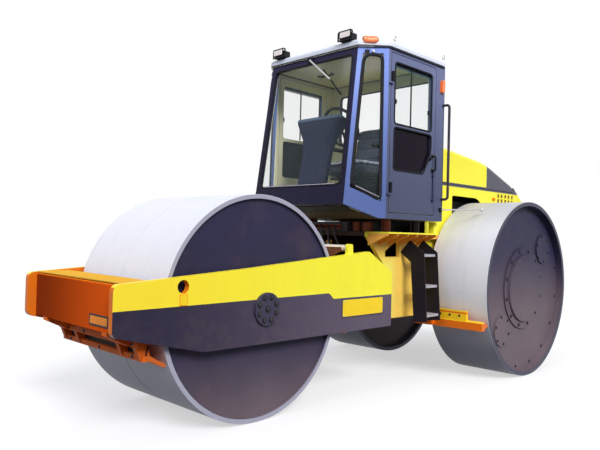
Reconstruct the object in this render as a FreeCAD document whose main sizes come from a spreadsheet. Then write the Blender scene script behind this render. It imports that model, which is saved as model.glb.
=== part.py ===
import FreeCAD, Part
import math
import os
import re
from types import SimpleNamespace
import Sketcher
from FreeCAD import Vector

# Articulated three-drum static road roller. Millimetres, +X forward, +Y to the machine's left, +Z up.
# Outlines are drawn from the rear axle's station, and each piece's Placement moves it so that the
# frame's zero lies on the floor midway between the two ends of the machine.

doc = FreeCAD.newDocument("RoadRoller")
sheet = doc.addObject("Spreadsheet::Sheet", "Sizes")

SIZES = (
    # stations along the machine
    ("rear_axle_x", -1420), ("rear_arm", 1420), ("front_arm", 1615), ("run_gap", 5), ("fit_gap", 0.05),
    # front drum
    ("drum_radius", 800), ("drum_half_width", 554), ("drum_seam", 6), ("drum_rim", 30),
    ("drum_end_recess", 25), ("drum_hub_radius", 150), ("front_shaft_radius", 60),
    ("front_flange_radius", 115), ("front_flange_wall", 20),
    # rear wheels
    ("wheel_radius", 850), ("wheel_gap", 70), ("wheel_width", 608), ("wheel_rim", 38),
    ("wheel_recess", 70), ("wheel_cover_radius", 335), ("cover_flange", 65), ("cover_rise", 34),
    ("hatch_radius", 150), ("hatch_ring", 575), ("hatch_wall", 14), ("hatch_tilt", 42),
    ("spindle_radius", 70), ("spindle_depth", 140),
    # front frame, its heights taken from the drum's axle
    ("yoke_gap", 25), ("yoke_wall", 45), ("yoke_reach", 365), ("yoke_rear_gap", 180), ("yoke_drop", 241),
    ("yoke_front_lift", 152), ("yoke_bend", 520), ("yoke_rise", 397), ("yoke_front_rise", 210),
    ("yoke_step", 12), ("yoke_corner", 45), ("tie_hole_radius", 42.5), ("tie_hole_ahead", 693),
    ("tie_hole_rise", 182), ("nose_back", 60), ("nose_wall", 80), ("nose_drop", 88), ("nose_rise", 216),
    ("rear_beam_depth", 270), ("rear_beam_drop", 210), ("rear_beam_rise", 180),
    # joint between the two frames
    ("tongue_drop", 100), ("tongue_wall", 160), ("tongue_radius", 80), ("ear_radius", 120),
    ("ear_wall", 40), ("pin_radius", 40), ("pin_cap_wall", 15), ("pin_cap_lip", 20),
    ("bulkhead_gap", 110), ("bulkhead_wall", 40),
    # steering cylinders
    ("cyl_drop", 20), ("cyl_reach", 670), ("cyl_base_y", 200), ("cyl_eye_ahead", 110),
    ("cyl_eye_y", 300), ("barrel_radius", 48), ("barrel_length", 470), ("barrel_start", 50),
    ("rod_radius", 28), ("rod_start", 265), ("eye_radius", 38), ("eye_wall", 56), ("lug_wall", 20),
    ("cyl_pin_radius", 18),
    # rear frame, its heights taken from the rear axle
    ("frame_inner_y", 400), ("frame_wall", 40), ("frame_drop", 267), ("frame_rise", 514),
    ("frame_front_gap", 82), ("wing_reach", 279), ("tail_reach", 1200), ("shelf_width", 220),
    ("shelf_wall", 14), ("rib_wall", 10), ("rail_width", 60), ("rail_height", 53), ("axle_tube_radius", 130), ("diff_radius", 200),
    ("axle_flange_radius", 190), ("tail_wall", 60), ("tail_drop", 90), ("hitch_rise", 50),
    ("hitch_reach", 100), ("hitch_wall", 20), ("hitch_mouth", 60), ("hitch_bore_radius", 17),
    # scrapers
    ("scraper_margin", 14), ("scraper_tube_radius", 26), ("wheel_blade_width", 540),
    # engine, its bay and the hood
    ("engine_length", 1250), ("engine_width", 600), ("engine_height", 660), ("engine_gap", 200),
    ("bay_half_width", 490), ("bay_wall", 20), ("bay_inset", 35), ("bay_height", 502),
    ("bay_rear_drop", 124), ("arch_length", 665), ("hood_inset", 300), ("hood_rise", 396), ("hood_round", 45),
    ("hinge_radius", 13), ("hinge_pin_radius", 6), ("hinge_gap", 1), ("grille_pitch", 30),
    # cab
    ("cab_half_width", 700), ("cab_wall", 40), ("cab_rear_back", 480), ("cab_post_ahead", 380),
    ("cab_front_ahead", 745), ("cab_taper", 153), ("cab_lift", 111), ("cab_floor_wall", 45),
    ("cab_height", 1425), ("cab_toe_rise", 105), ("cab_lean", 175), ("cab_lean_in", 26),
    ("roof_wall", 66), ("roof_lip", 16), ("roof_round", 30), ("glass_wall", 6), ("glass_depth", 17),
    ("door_width", 670), ("door_post", 40), ("door_gap", 7), ("door_sill", 55), ("door_head", 30),
    ("rail_radius", 12), ("rail_reach", 70), ("mount_radius", 42), ("lamp_width", 150),
    ("lamp_height", 76), ("lamp_depth", 70),
)

# Places that follow from the sizes, as sums of them
STATIONS = (
    ("pivot_x", "rear_arm"),
    ("drum_x", "rear_arm + front_arm"),
    ("drum_z", "drum_radius"),
    ("axle_z", "wheel_radius"),
    ("yoke_inner_y", "drum_half_width + yoke_gap"),
    ("yoke_outer_y", "yoke_inner_y + yoke_wall"),
    ("yoke_front_x", "drum_x + drum_radius + yoke_reach"),
    ("yoke_rear_x", "pivot_x + yoke_rear_gap"),
    ("nose_x", "yoke_front_x - nose_back"),
    ("nose_low_z", "drum_z - nose_drop"),
    ("tongue_low_z", "drum_z - tongue_drop"),
    ("cyl_z", "drum_z - cyl_drop"),
    ("cyl_base_x", "pivot_x - cyl_reach"),
    ("cyl_eye_x", "pivot_x + cyl_eye_ahead"),
    ("bulkhead_x", "pivot_x - bulkhead_gap"),
    ("plate_y", "frame_inner_y + frame_wall"),
    ("wheel_inner_y", "plate_y + wheel_gap"),
    ("wheel_outer_y", "wheel_inner_y + wheel_width"),
    ("frame_low_z", "axle_z - frame_drop"),
    ("frame_top_z", "axle_z + frame_rise"),
    ("tail_x", "0 - tail_reach - tail_wall"),
    ("engine_low_z", "axle_z + diff_radius + 2 * run_gap"),
    ("engine_front_x", "engine_length + engine_gap - tail_reach"),
    ("bay_tail", "tail_reach - bay_inset"),
    ("hood_tail", "tail_reach - hood_inset"),
    ("hood_axis_z", "frame_top_z + bay_height + 76"),
    ("cab_front_half", "cab_half_width - cab_taper"),
    ("cab_low_z", "frame_top_z + cab_lift"),
    ("cab_floor_z", "cab_low_z + cab_floor_wall"),
    ("cab_top_z", "cab_low_z + cab_height"),
    ("cab_rear_x", "pivot_x - cab_rear_back"),
    ("cab_post_x", "pivot_x + cab_post_ahead"),
    ("cab_front_x", "pivot_x + cab_front_ahead"),
    ("cab_toe_z", "cab_low_z + cab_toe_rise"),
    ("bay_front_x", "cab_rear_x - cab_wall"),
    ("bay_split_z", "frame_top_z + bay_height"),
    ("door_front_x", "cab_post_x - door_post"),
    ("door_rear_x", "door_front_x - door_width"),
    ("door_low_z", "cab_low_z + door_sill"),
    ("door_top_z", "cab_top_z - door_head"),
)


ALIASES = {alias for alias, number in SIZES}
SUMS = dict(STATIONS)


def formula(text):
    """Point each size's name in a formula at its cell, and write out each station as its sum."""
    def cell(found):
        word = found.group()
        if word in SUMS:
            return "(" + formula(SUMS[word]) + ")"
        return "Sizes." + word if word in ALIASES else word
    return re.sub(r"[a-z_]+", cell, str(text))


def spread_sheet():
    """Fill the sheet: one row a size, its name beside its number."""
    for row, (alias, number) in enumerate(SIZES, start=1):
        sheet.set("A%d" % row, alias.replace("_", " "))
        sheet.set("B%d" % row, str(number))
        sheet.setAlias("B%d" % row, alias)
    doc.recompute()
    values = {alias: float(sheet.get(alias)) for alias, number in SIZES}
    for name, total in STATIONS:
        sheet.recompute()
        values[name] = float(sheet.evalExpression(formula(total)))
    return SimpleNamespace(**values)


s = spread_sheet()
PLANES = {"XY": "XY_Plane", "XZ": "XZ_Plane", "YZ": "YZ_Plane"}
TURN = {"Z": FreeCAD.Rotation(),
        "X": FreeCAD.Rotation(Vector(0, 1, 0), 90),
        "Y": FreeCAD.Rotation(Vector(1, 0, 0), -90)}
UPRIGHT = FreeCAD.Rotation(Vector(1, 0, 0), 90)
SIDES = (("left", 1), ("right", -1))
NODES = []


def bind(thing, **formulas):
    for path, text in formulas.items():
        thing.setExpression(path, formula(text))


def place(thing, x=0, y=0, z=0, turn=None):
    """Stand a piece at x from the rear axle, y from the middle and z over the floor."""
    if turn is not None:
        thing.Placement = FreeCAD.Placement(Vector(), turn)
    for path, text in (("x", "rear_axle_x + (%s)" % x), ("y", y), ("z", z)):
        thing.setExpression("Placement.Base." + path, formula(text))
    return thing


def edges_of(outline):
    """Lines and corner arcs of a closed outline whose corners are (across, up) or (across, up, radius)."""
    corners = [(Vector(c[0], c[1], 0), c[2] if len(c) > 2 else 0) for c in outline]
    ends = []
    arcs = []
    for i, (here, radius) in enumerate(corners):
        back = (corners[i - 1][0] - here).normalize()
        ahead = (corners[(i + 1) % len(corners)][0] - here).normalize()
        if not radius:
            ends.append((here, here))
            arcs.append(None)
            continue
        half = back.getAngle(ahead) / 2
        start = here + back * (radius / math.tan(half))
        stop = here + ahead * (radius / math.tan(half))
        centre = here + (back + ahead).normalize() * (radius / math.sin(half))
        middle = centre + (here - centre).normalize() * radius
        ends.append((start, stop))
        arcs.append(Part.Arc(start, middle, stop))
    edges = []
    for i, arc in enumerate(arcs):
        if arc:
            edges.append(arc)
        edges.append(Part.LineSegment(ends[i][1], ends[(i + 1) % len(ends)][0]))
    return edges


def sketch_in(body, name, plane, outlines, circles=(), lift=None):
    """A sketch on one of the body's own planes: closed outlines and round holes (across, up, radius)."""
    sketch = body.newObject("Sketcher::SketchObject", name)
    flat = [f for f in body.Origin.OriginFeatures if f.Role == PLANES[plane]][0]
    sketch.AttachmentSupport = [(flat, "")]
    sketch.MapMode = "FlatFace"
    if lift is not None:
        sketch.AttachmentOffset = FreeCAD.Placement(Vector(0, 0, lift), FreeCAD.Rotation())
    for outline in outlines:
        for edge in edges_of(outline):
            sketch.addGeometry(edge, False)
    for across, up, radius in circles:
        sketch.addGeometry(Part.Circle(Vector(across, up, 0), Vector(0, 0, 1), radius), False)
    return sketch


def panel(name, plane, outline, wall, holes=(), circles=(), middle=False):
    """A flat piece: an outline padded by its wall. On XZ the wall lies towards -Y."""
    body = doc.addObject("PartDesign::Body", name)
    sketch = sketch_in(body, name + "_outline", plane, [outline] + list(holes), circles)
    pad = body.newObject("PartDesign::Pad", name + "_pad")
    pad.Profile = sketch
    bind(pad, Length=wall)
    pad.Midplane = middle
    sketch.Visibility = False
    return body


def turned(name, outline):
    """A round piece about its own Y axis; its outline's corners are (radius, along)."""
    body = doc.addObject("PartDesign::Body", name)
    sketch = sketch_in(body, name + "_section", "XY", [outline])
    spin = body.newObject("PartDesign::Revolution", name + "_spin")
    spin.Profile = sketch
    spin.ReferenceAxis = (sketch, ["V_Axis"])
    spin.Angle = 360
    return body


def lofted(name, sections):
    """A ruled piece between level sections, each (height, outline)."""
    body = doc.addObject("PartDesign::Body", name)
    sketches = [sketch_in(body, "%s_section_%d" % (name, i), "XY", [outline], lift=height)
                for i, (height, outline) in enumerate(sections)]
    loft = body.newObject("PartDesign::AdditiveLoft", name + "_loft")
    loft.Profile = sketches[0]
    loft.Sections = sketches[1:]
    loft.Ruled = True
    return body


def block(name, length, width, height, x, y, z):
    """A box whose lowest corner stands at x, y, z."""
    box = doc.addObject("Part::Box", name)
    bind(box, Length=length, Width=width, Height=height)
    return place(box, x, y, z)


def bar(name, axis, radius, length, x, y, z):
    """A round bar that starts at x, y, z and runs along an axis."""
    rod = doc.addObject("Part::Cylinder", name)
    bind(rod, Radius=radius, Height=length)
    return place(rod, x, y, z, TURN[axis])


def joined(name, pieces):
    fuse = doc.addObject("Part::MultiFuse", name)
    fuse.Shapes = pieces
    return fuse


def cut(name, base, tools):
    if len(tools) > 1:
        tool = joined(name + "_tools", tools)
    else:
        tool = tools[0]
    thing = doc.addObject("Part::Cut", name)
    thing.Base = base
    thing.Tool = tool
    return thing


def shared(name, first, second):
    thing = doc.addObject("Part::Common", name)
    thing.Base = first
    thing.Tool = second
    return thing


def together(name, pieces):
    group = doc.addObject("Part::Compound", name)
    group.Links = pieces
    return group


def node(thing, label):
    """Name a finished sub-part for its file."""
    thing.Label = label
    NODES.append(thing)
    return thing


def front_drum():
    """Two half drums on one shaft, each with a closed end set back inside its rim."""
    inner = s.drum_radius - s.drum_rim
    face = s.drum_half_width - s.drum_end_recess
    bore = s.front_shaft_radius + s.fit_gap
    hub = s.drum_half_width - s.run_gap
    draft = 4
    for word, side in SIDES:
        start = side * s.drum_seam / 2
        outline = [(bore, start), (s.drum_radius, start), (s.drum_radius, side * s.drum_half_width),
                   (inner, side * s.drum_half_width), (inner - draft, side * face),
                   (s.drum_hub_radius, side * face), (s.drum_hub_radius, side * hub), (bore, side * hub)]
        drum = turned("drum_" + word, outline)
        node(place(drum, "drum_x", 0, "drum_z"), "front_drum_" + word)


def front_axle():
    """The drum's fixed shaft, with a collar inside and a bolted flange outside each side plate."""
    shaft = s.front_shaft_radius
    collar = s.drum_hub_radius - 50
    end = s.yoke_outer_y + s.front_flange_wall
    half = [(shaft, s.drum_half_width), (collar, s.drum_half_width), (collar, s.yoke_inner_y),
            (shaft, s.yoke_inner_y), (shaft, s.yoke_outer_y), (s.front_flange_radius, s.yoke_outer_y),
            (s.front_flange_radius, end), (0, end)]
    outline = half + [(r, -y) for r, y in reversed(half)]
    node(place(turned("axle_front", outline), "drum_x", 0, "drum_z"), "front_axle")


def rear_wheels():
    """Closed drive wheels: a rim, set-back discs, a centre cover and two round hatches."""
    inner_y = s.wheel_inner_y
    rim = s.wheel_radius - s.wheel_rim
    disc = s.wheel_outer_y - s.wheel_recess
    hub = s.wheel_cover_radius * 0.625
    hub_y = inner_y + 20
    inner_disc = inner_y + 60
    flange = s.wheel_cover_radius + s.cover_flange
    lip = disc + s.hatch_wall
    crown = disc + s.cover_rise
    bore = s.spindle_radius + s.fit_gap
    floor_y = inner_y + s.wheel_recess + s.spindle_depth
    half = [(bore, hub_y), (hub, hub_y), (hub, inner_disc), (rim, inner_disc), (rim, inner_y),
            (s.wheel_radius, inner_y), (s.wheel_radius, s.wheel_outer_y), (rim, s.wheel_outer_y),
            (rim - 6, disc), (flange, disc), (flange, lip), (s.wheel_cover_radius, lip),
            (s.wheel_cover_radius - 6, crown), (0, crown), (0, floor_y), (bore, floor_y)]
    for word, side in SIDES:
        wheel = place(turned("wheel_body_" + word, [(r, side * y) for r, y in half]), 0, 0, "axle_z")
        hatches = []
        for turn in (0, 180):
            angle = math.radians(turn - s.hatch_tilt)
            middle = "%d * (wheel_outer_y - wheel_recess + hatch_wall / 2) - hatch_wall / 2" % side
            hatches.append(bar("wheel_hatch_%s_%d" % (word, turn), "Y", "hatch_radius", "hatch_wall",
                               "hatch_ring * %.6f" % math.cos(angle), middle,
                               "axle_z + hatch_ring * %.6f" % math.sin(angle)))
        node(joined("wheel_" + word, [wheel] + hatches), "rear_wheel_" + word)


def rear_axle():
    """Axle tube through both side plates, with a round middle housing and a spindle in each wheel."""
    end = s.wheel_inner_y + s.wheel_recess + s.spindle_depth - 10
    flange_end = s.plate_y + 40
    half = [(s.diff_radius, 120), (s.diff_radius - 60, 200), (s.axle_tube_radius, 200),
            (s.axle_tube_radius, s.plate_y), (s.axle_flange_radius, s.plate_y),
            (s.axle_flange_radius, flange_end), (s.spindle_radius, flange_end),
            (s.spindle_radius, end), (0, end)]
    outline = half + [(r, -y) for r, y in reversed(half)]
    node(place(turned("axle_rear", outline), 0, 0, "axle_z"), "rear_axle")


def yoke_outline():
    """The side plate's outline: deep at its middle, sloping up to the rear and down to the nose."""
    rear = s.yoke_rear_x - s.yoke_step
    low = s.drum_z - s.yoke_drop
    front_top = s.drum_z + s.yoke_front_rise
    rear_top = s.drum_z + s.yoke_rise
    return [(rear, low), (s.drum_x + s.yoke_bend, low),
            (s.yoke_front_x, low + s.yoke_front_lift, s.yoke_corner),
            (s.yoke_front_x, front_top, s.yoke_corner), (s.drum_x + 158, front_top + 74),
            (s.yoke_rear_x + 300, rear_top, 30), (rear, rear_top - 182, 20)]


def yoke_top_at(x):
    """Height of the side plate's sloping top edge between its two long corners."""
    rear_x, rear_z = yoke_outline()[5][:2]
    front_x, front_z = yoke_outline()[4][:2]
    return rear_z + (front_z - rear_z) * (x - rear_x) / (front_x - rear_x)


def lug(name, root_x, tip_x, y, half_root, half_tip, up, hole=None):
    """A level plate with a round end, reaching from its root to its tip, over or under an eye."""
    outline = [(root_x, y - half_root), (tip_x, y - half_tip, half_tip - 1),
               (tip_x, y + half_tip, half_tip - 1), (root_x, y + half_root)]
    if tip_x < root_x:
        outline.reverse()
    circles = [(hole[0], y, hole[1])] if hole else ()
    return place(panel(name, "XY", outline, "lug_wall", circles=circles), 0, 0, up)


def front_frame():
    """Yoke round the drum: side plates, nose beam and rear beam with the pivot tongue."""
    hub = (s.drum_x, s.drum_z, s.front_shaft_radius + s.fit_gap)
    tie = (s.drum_x + s.tie_hole_ahead, s.drum_z + s.tie_hole_rise, s.tie_hole_radius)
    plates = []
    for word, side in SIDES:
        plate = panel("yoke_plate_" + word, "XZ", yoke_outline(), "yoke_wall", circles=[hub, tie])
        plates.append(place(plate, 0, "yoke_outer_y" if side > 0 else "0 - yoke_inner_y", 0))
    node(together("yoke_plates", plates), "yoke_side_plates")

    back = s.nose_x - s.nose_wall
    top = s.drum_z + s.nose_rise
    nose = [(back, s.nose_low_z + 20), (s.nose_x, s.nose_low_z), (s.nose_x, top - 12, 12), (back, top)]
    node(place(panel("nose", "XZ", nose, "2 * yoke_inner_y", middle=True)), "yoke_nose_beam")

    rear = s.yoke_rear_x
    deep = rear + s.rear_beam_depth
    low = s.drum_z - s.rear_beam_drop
    high = s.drum_z + s.rear_beam_rise
    beam = [(rear, low), (deep - 60, low), (deep, low + 70), (deep, high), (rear, high)]
    pieces = [place(panel("rear_beam_box", "XZ", beam, "2 * yoke_inner_y", middle=True))]
    root = rear + 10
    tip = s.pivot_x - s.tongue_radius
    tongue = [(root, -2 * s.tongue_radius), (root, 2 * s.tongue_radius), (rear - 60, s.tongue_radius + 20),
              (tip, s.tongue_radius, s.tongue_radius - 1), (tip, -s.tongue_radius, s.tongue_radius - 1),
              (rear - 60, -s.tongue_radius - 20)]
    bore = (s.pivot_x, 0, s.pin_radius + s.fit_gap)
    pieces.append(place(panel("tongue", "XY", tongue, "tongue_wall", circles=[bore]),
                        0, 0, "tongue_low_z"))
    for word, side in SIDES:
        for level, up in (("low", "cyl_z - eye_wall / 2 - run_gap - lug_wall"),
                          ("high", "cyl_z + eye_wall / 2 + run_gap")):
            pieces.append(lug("beam_lug_%s_%s" % (word, level), root, s.cyl_eye_x - s.eye_radius,
                              side * s.cyl_eye_y, s.eye_radius + 22, s.eye_radius, up))
    node(joined("rear_beam", pieces), "yoke_rear_beam")


def rim_point(axle_x, radius, angle):
    """A point just off a roll's face, at an angle up from straight ahead of its axle."""
    reach = radius + s.run_gap + 1
    turn = math.radians(angle)
    return axle_x + reach * math.cos(turn), radius + reach * math.sin(turn)


def front_scraper():
    """Under the nose: two cross bars joined by plates, hung on two hangers, and a sprung blade."""
    nose_x = s.nose_x
    top_x = nose_x - 215
    top_z = s.drum_z - 185
    low_x = nose_x - 240
    low_z = s.drum_z - 270
    width = "2 * (drum_half_width - scraper_margin)"
    pieces = [block("scraper_top_bar", 60, width, 40, top_x, "scraper_margin - drum_half_width", top_z),
              block("scraper_low_bar", 50, width, 34, low_x, "scraper_margin - drum_half_width", low_z)]
    link = [(top_x + 60, top_z), (top_x + 60, top_z + 40), (top_x, top_z + 50), (low_x - 15, low_z + 34),
            (low_x, low_z), (low_x + 50, low_z)]
    outer = s.drum_half_width - s.scraper_margin - 40
    for i, y in enumerate((-outer, -outer * 0.58, outer * 0.58, outer)):
        pieces.append(place(panel("scraper_link_%d" % i, "XZ", link, 40), 0, y + 20, 0))
    hanger = [(nose_x, s.nose_low_z - 22), (nose_x, s.nose_low_z),
              (nose_x - s.nose_wall, s.nose_low_z + 20), (top_x, top_z + 50), (top_x, top_z),
              (top_x + 60, top_z)]
    for i, y in enumerate((-outer * 0.84, outer * 0.84)):
        pieces.append(place(panel("scraper_hanger_%d" % i, "XZ", hanger, 60), 0, y + 30, 0))
    tip = rim_point(s.drum_x, s.drum_radius, -22.3)
    blade = [(low_x + 15, low_z + 30), (low_x, low_z + 34), tip, (tip[0] + 12, tip[1] - 16),
             (low_x + 15, low_z + 6)]
    pieces.append(place(panel("scraper_blade", "XZ", blade, width, middle=True)))
    node(joined("scraper_front", pieces), "drum_scraper_front")


def rear_scraper():
    """Behind the drum: a cross tube on two lugs that stand on the side plates, and its blade."""
    tube_x = s.drum_x - s.drum_radius - 108
    tube_z = s.drum_z + s.yoke_rise + 26
    width = "2 * (drum_half_width - scraper_margin)"
    pieces = [bar("scraper_tube", "Y", "scraper_tube_radius", "2 * yoke_outer_y - 2 * scraper_margin",
                  tube_x, "scraper_margin - yoke_outer_y", tube_z)]
    feet = (tube_x - 32, tube_x + 32)
    stand = [(feet[0], yoke_top_at(feet[0])), (feet[1], yoke_top_at(feet[1])),
             (tube_x + 28, tube_z + 34, 18), (tube_x - 28, tube_z + 34, 18)]
    for word, side in SIDES:
        lower = "yoke_outer_y - scraper_margin" if side > 0 else "0 - yoke_inner_y"
        pieces.append(place(panel("scraper_stand_" + word, "XZ", stand, "yoke_wall - scraper_margin"),
                            0, lower, 0))
    tip = rim_point(s.drum_x, s.drum_radius, 154.5)
    blade = [(tube_x - 12, tube_z + 10), (tube_x + 4, tube_z + 20), (tip[0], tip[1] + 9), tip,
             (tube_x + 4, tube_z - 12)]
    pieces.append(place(panel("scraper_rear_blade", "XZ", blade, width, middle=True)))
    node(joined("scraper_rear", pieces), "drum_scraper_rear")


def wheel_scrapers():
    """Ahead of each rear wheel: a flat bar with a raised back plate on a bracket from the frame."""
    start_x = s.wheel_radius + 10
    low_z = s.axle_z - 345
    base = [(start_x, low_z), (start_x + 45, low_z), (start_x + 45, low_z + 70), (start_x, low_z + 80)]
    back = [(start_x + 8, low_z + 70), (start_x + 40, low_z + 70), (start_x + 40, low_z + 163),
            (start_x + 8, low_z + 163)]
    arm = [(start_x + 45, low_z + 10), (start_x + 120, low_z + 10), (start_x + 120, s.frame_low_z + 17),
           (start_x + 45, s.frame_low_z + 57)]
    tip = rim_point(0, s.wheel_radius, -20.1)
    edge = [(start_x, low_z + 15), (start_x + 8, low_z + 31), tip, (tip[0] - 4, tip[1] - 12)]
    first = s.wheel_inner_y + 60
    parts = (("blade", base, first, first + s.wheel_blade_width),
             ("edge", edge, first, first + s.wheel_blade_width),
             ("riser", back, first + 40, first + 380),
             ("arm", arm, s.plate_y, first + 50))
    pieces = []
    for word, side in SIDES:
        for label, outline, near, far in parts:
            plate = panel("wheel_%s_%s" % (label, word), "XZ", outline, far - near)
            pieces.append(place(plate, 0, far if side > 0 else -near, 0))
    node(joined("scrapers_wheel", pieces), "wheel_scrapers")


def rear_frame():
    """Side plates with forward wings, shelves, cross members, pivot ears and the bulkhead."""
    front = s.pivot_x - s.frame_front_gap
    wing = s.pivot_x + s.wing_reach
    low = s.frame_low_z
    top = s.frame_top_z
    outline = [(front, low), (front, top - 379), (s.pivot_x + 20, top - 324), (wing, top - 39), (wing, top),
               (-s.tail_reach, top), (-s.tail_reach, s.axle_z - s.tail_drop),
               (320 - s.tail_reach, low)]
    window = [(s.pivot_x + 31, top - 170), (s.pivot_x - 116, top - 87), (s.pivot_x - 184, top - 87),
              (s.pivot_x - 189, top - 222), (s.pivot_x + 29, top - 223)]
    bore = (0, s.axle_z, s.axle_tube_radius + s.fit_gap)
    shelf_start = s.wheel_radius + 100
    shelf_length = "pivot_x + wing_reach - wheel_radius - 100"
    pieces = []
    for word, side in SIDES:
        plate = panel("frame_plate_" + word, "XZ", outline, "frame_wall", holes=[window], circles=[bore])
        pieces.append(place(plate, 0, "plate_y" if side > 0 else "0 - frame_inner_y", 0))
        pieces.append(block("shelf_" + word, shelf_length, "shelf_width", "shelf_wall", shelf_start,
                            "plate_y" if side > 0 else "0 - plate_y - shelf_width",
                            "frame_top_z - shelf_wall"))
        pieces.append(block("frame_rail_" + word, "wheel_radius + 50 + tail_reach", "rail_width",
                            "rail_height", 50 - s.tail_reach,
                            "plate_y" if side > 0 else "0 - plate_y - rail_width",
                            "frame_top_z - rail_height"))
        rib = [(side * s.plate_y, top - s.shelf_wall), (side * (s.plate_y + s.shelf_width - 8),
                                                        top - s.shelf_wall),
               (side * (s.plate_y + s.shelf_width - 8), top - s.shelf_wall - 16),
               (side * s.plate_y, top - 120)]
        ribs = 6
        span = wing - shelf_start - s.rib_wall
        for i in range(ribs):
            spot = shelf_start + span * i / (ribs - 1)
            pieces.append(place(panel("shelf_rib_%s_%d" % (word, i), "YZ", rib, "rib_wall"), spot, 0, 0))
    inside = "2 * frame_inner_y"
    half = s.frame_inner_y
    wall_low = s.tongue_low_z - 100
    wall_high = s.tongue_low_z + s.tongue_wall + 180
    openings = [[(side * 125, wall_low + 100, 15), (side * 385, wall_low + 100, 15),
                 (side * 385, wall_low + 260, 15), (side * 125, wall_low + 260, 15)]
                for word, side in SIDES]
    wall = [(-half, wall_low), (half, wall_low), (half, wall_high), (-half, wall_high)]
    pieces.append(place(panel("bulkhead", "YZ", wall, "bulkhead_wall", holes=openings),
                        "bulkhead_x - bulkhead_wall", 0, 0))
    # cross members: name, length, height, station of the rear face, height of the underside
    members = (("front_deck", 440, 40, "pivot_x - 170", "frame_top_z - 40"),
               ("mid_deck", 120, 40, "pivot_x - 640", "frame_top_z - 40"),
               ("anchor_member", 100, 200, "cyl_base_x - 150", "cyl_z - 100"),
               ("engine_member_front", 60, 60, "engine_front_x - 70", "engine_low_z - 60"),
               ("engine_member_rear", 60, 60, "engine_front_x - engine_length + 100",
                "engine_low_z - 60"))
    for label, length, height, x, z in members:
        pieces.append(block(label, length, inside, height, x, "0 - frame_inner_y", z))
    ear_tip = s.pivot_x + s.ear_radius
    ear = [(s.bulkhead_x - 5, -170), (ear_tip, -s.ear_radius, s.ear_radius - 1),
           (ear_tip, s.ear_radius, s.ear_radius - 1), (s.bulkhead_x - 5, 170)]
    bore = (s.pivot_x, 0, s.pin_radius + s.fit_gap)
    for level, up in (("low", "tongue_low_z - run_gap - ear_wall"),
                      ("high", "tongue_low_z + tongue_wall + run_gap")):
        pieces.append(place(panel("pivot_ear_" + level, "XY", ear, "ear_wall", circles=[bore]), 0, 0, up))
    for word, side in SIDES:
        for level, up in (("low", "cyl_z - eye_wall / 2 - run_gap - lug_wall"),
                          ("high", "cyl_z + eye_wall / 2 + run_gap")):
            pieces.append(lug("anchor_lug_%s_%s" % (word, level), s.cyl_base_x - 55,
                              s.cyl_base_x + s.eye_radius, side * s.cyl_base_y, s.eye_radius + 22,
                              s.eye_radius, up))
        pieces.append(bar("anchor_pin_" + word, "Z", "cyl_pin_radius",
                          "eye_wall + 2 * run_gap + 3 * lug_wall", "cyl_base_x", side * s.cyl_base_y,
                          "cyl_z - eye_wall / 2 - run_gap - lug_wall * 1.5"))
    node(joined("frame_rear", pieces), "rear_chassis")


def pivot_pin():
    """The upright pin of the joint between the frames, with a keeper cap under and over the ears."""
    low = "tongue_low_z - run_gap - ear_wall - pin_cap_wall"
    high = "tongue_low_z + tongue_wall + run_gap + ear_wall"
    pin = bar("pin_body", "Z", "pin_radius",
              "tongue_wall + 2 * run_gap + 2 * ear_wall + 2 * pin_cap_wall", "pivot_x", 0, low)
    caps = [bar("pin_cap_" + word, "Z", "pin_radius + pin_cap_lip", "pin_cap_wall", "pivot_x", 0, up)
            for word, up in (("low", low), ("high", high))]
    node(joined("pin_pivot", [pin] + caps), "pivot_pin")


def tail():
    """The heavy slab behind the frame, with a forked tow hitch."""
    half = s.plate_y + 50
    low = s.axle_z - s.tail_drop
    top = s.frame_top_z - 4
    slab = [(-half, low, 40), (half, low, 40), (half, top, 20), (-half, top, 20)]
    pieces = [place(panel("tail_plate", "YZ", slab, "tail_wall"), "tail_x", 0, 0)]
    tip = s.tail_x - s.hitch_reach
    tongue = [(s.tail_x + 5, -90), (tip, -60, 40), (tip, 60, 40), (s.tail_x + 5, 90)]
    hole = (s.tail_x - s.hitch_reach / 2, 0, s.hitch_bore_radius)
    for level, up in (("low", "axle_z + hitch_rise - hitch_mouth / 2 - hitch_wall"),
                      ("high", "axle_z + hitch_rise + hitch_mouth / 2")):
        pieces.append(place(panel("hitch_" + level, "XY", tongue, "hitch_wall", circles=[hole]), 0, 0, up))
    node(joined("tail_slab", pieces), "tail_counterweight")


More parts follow.
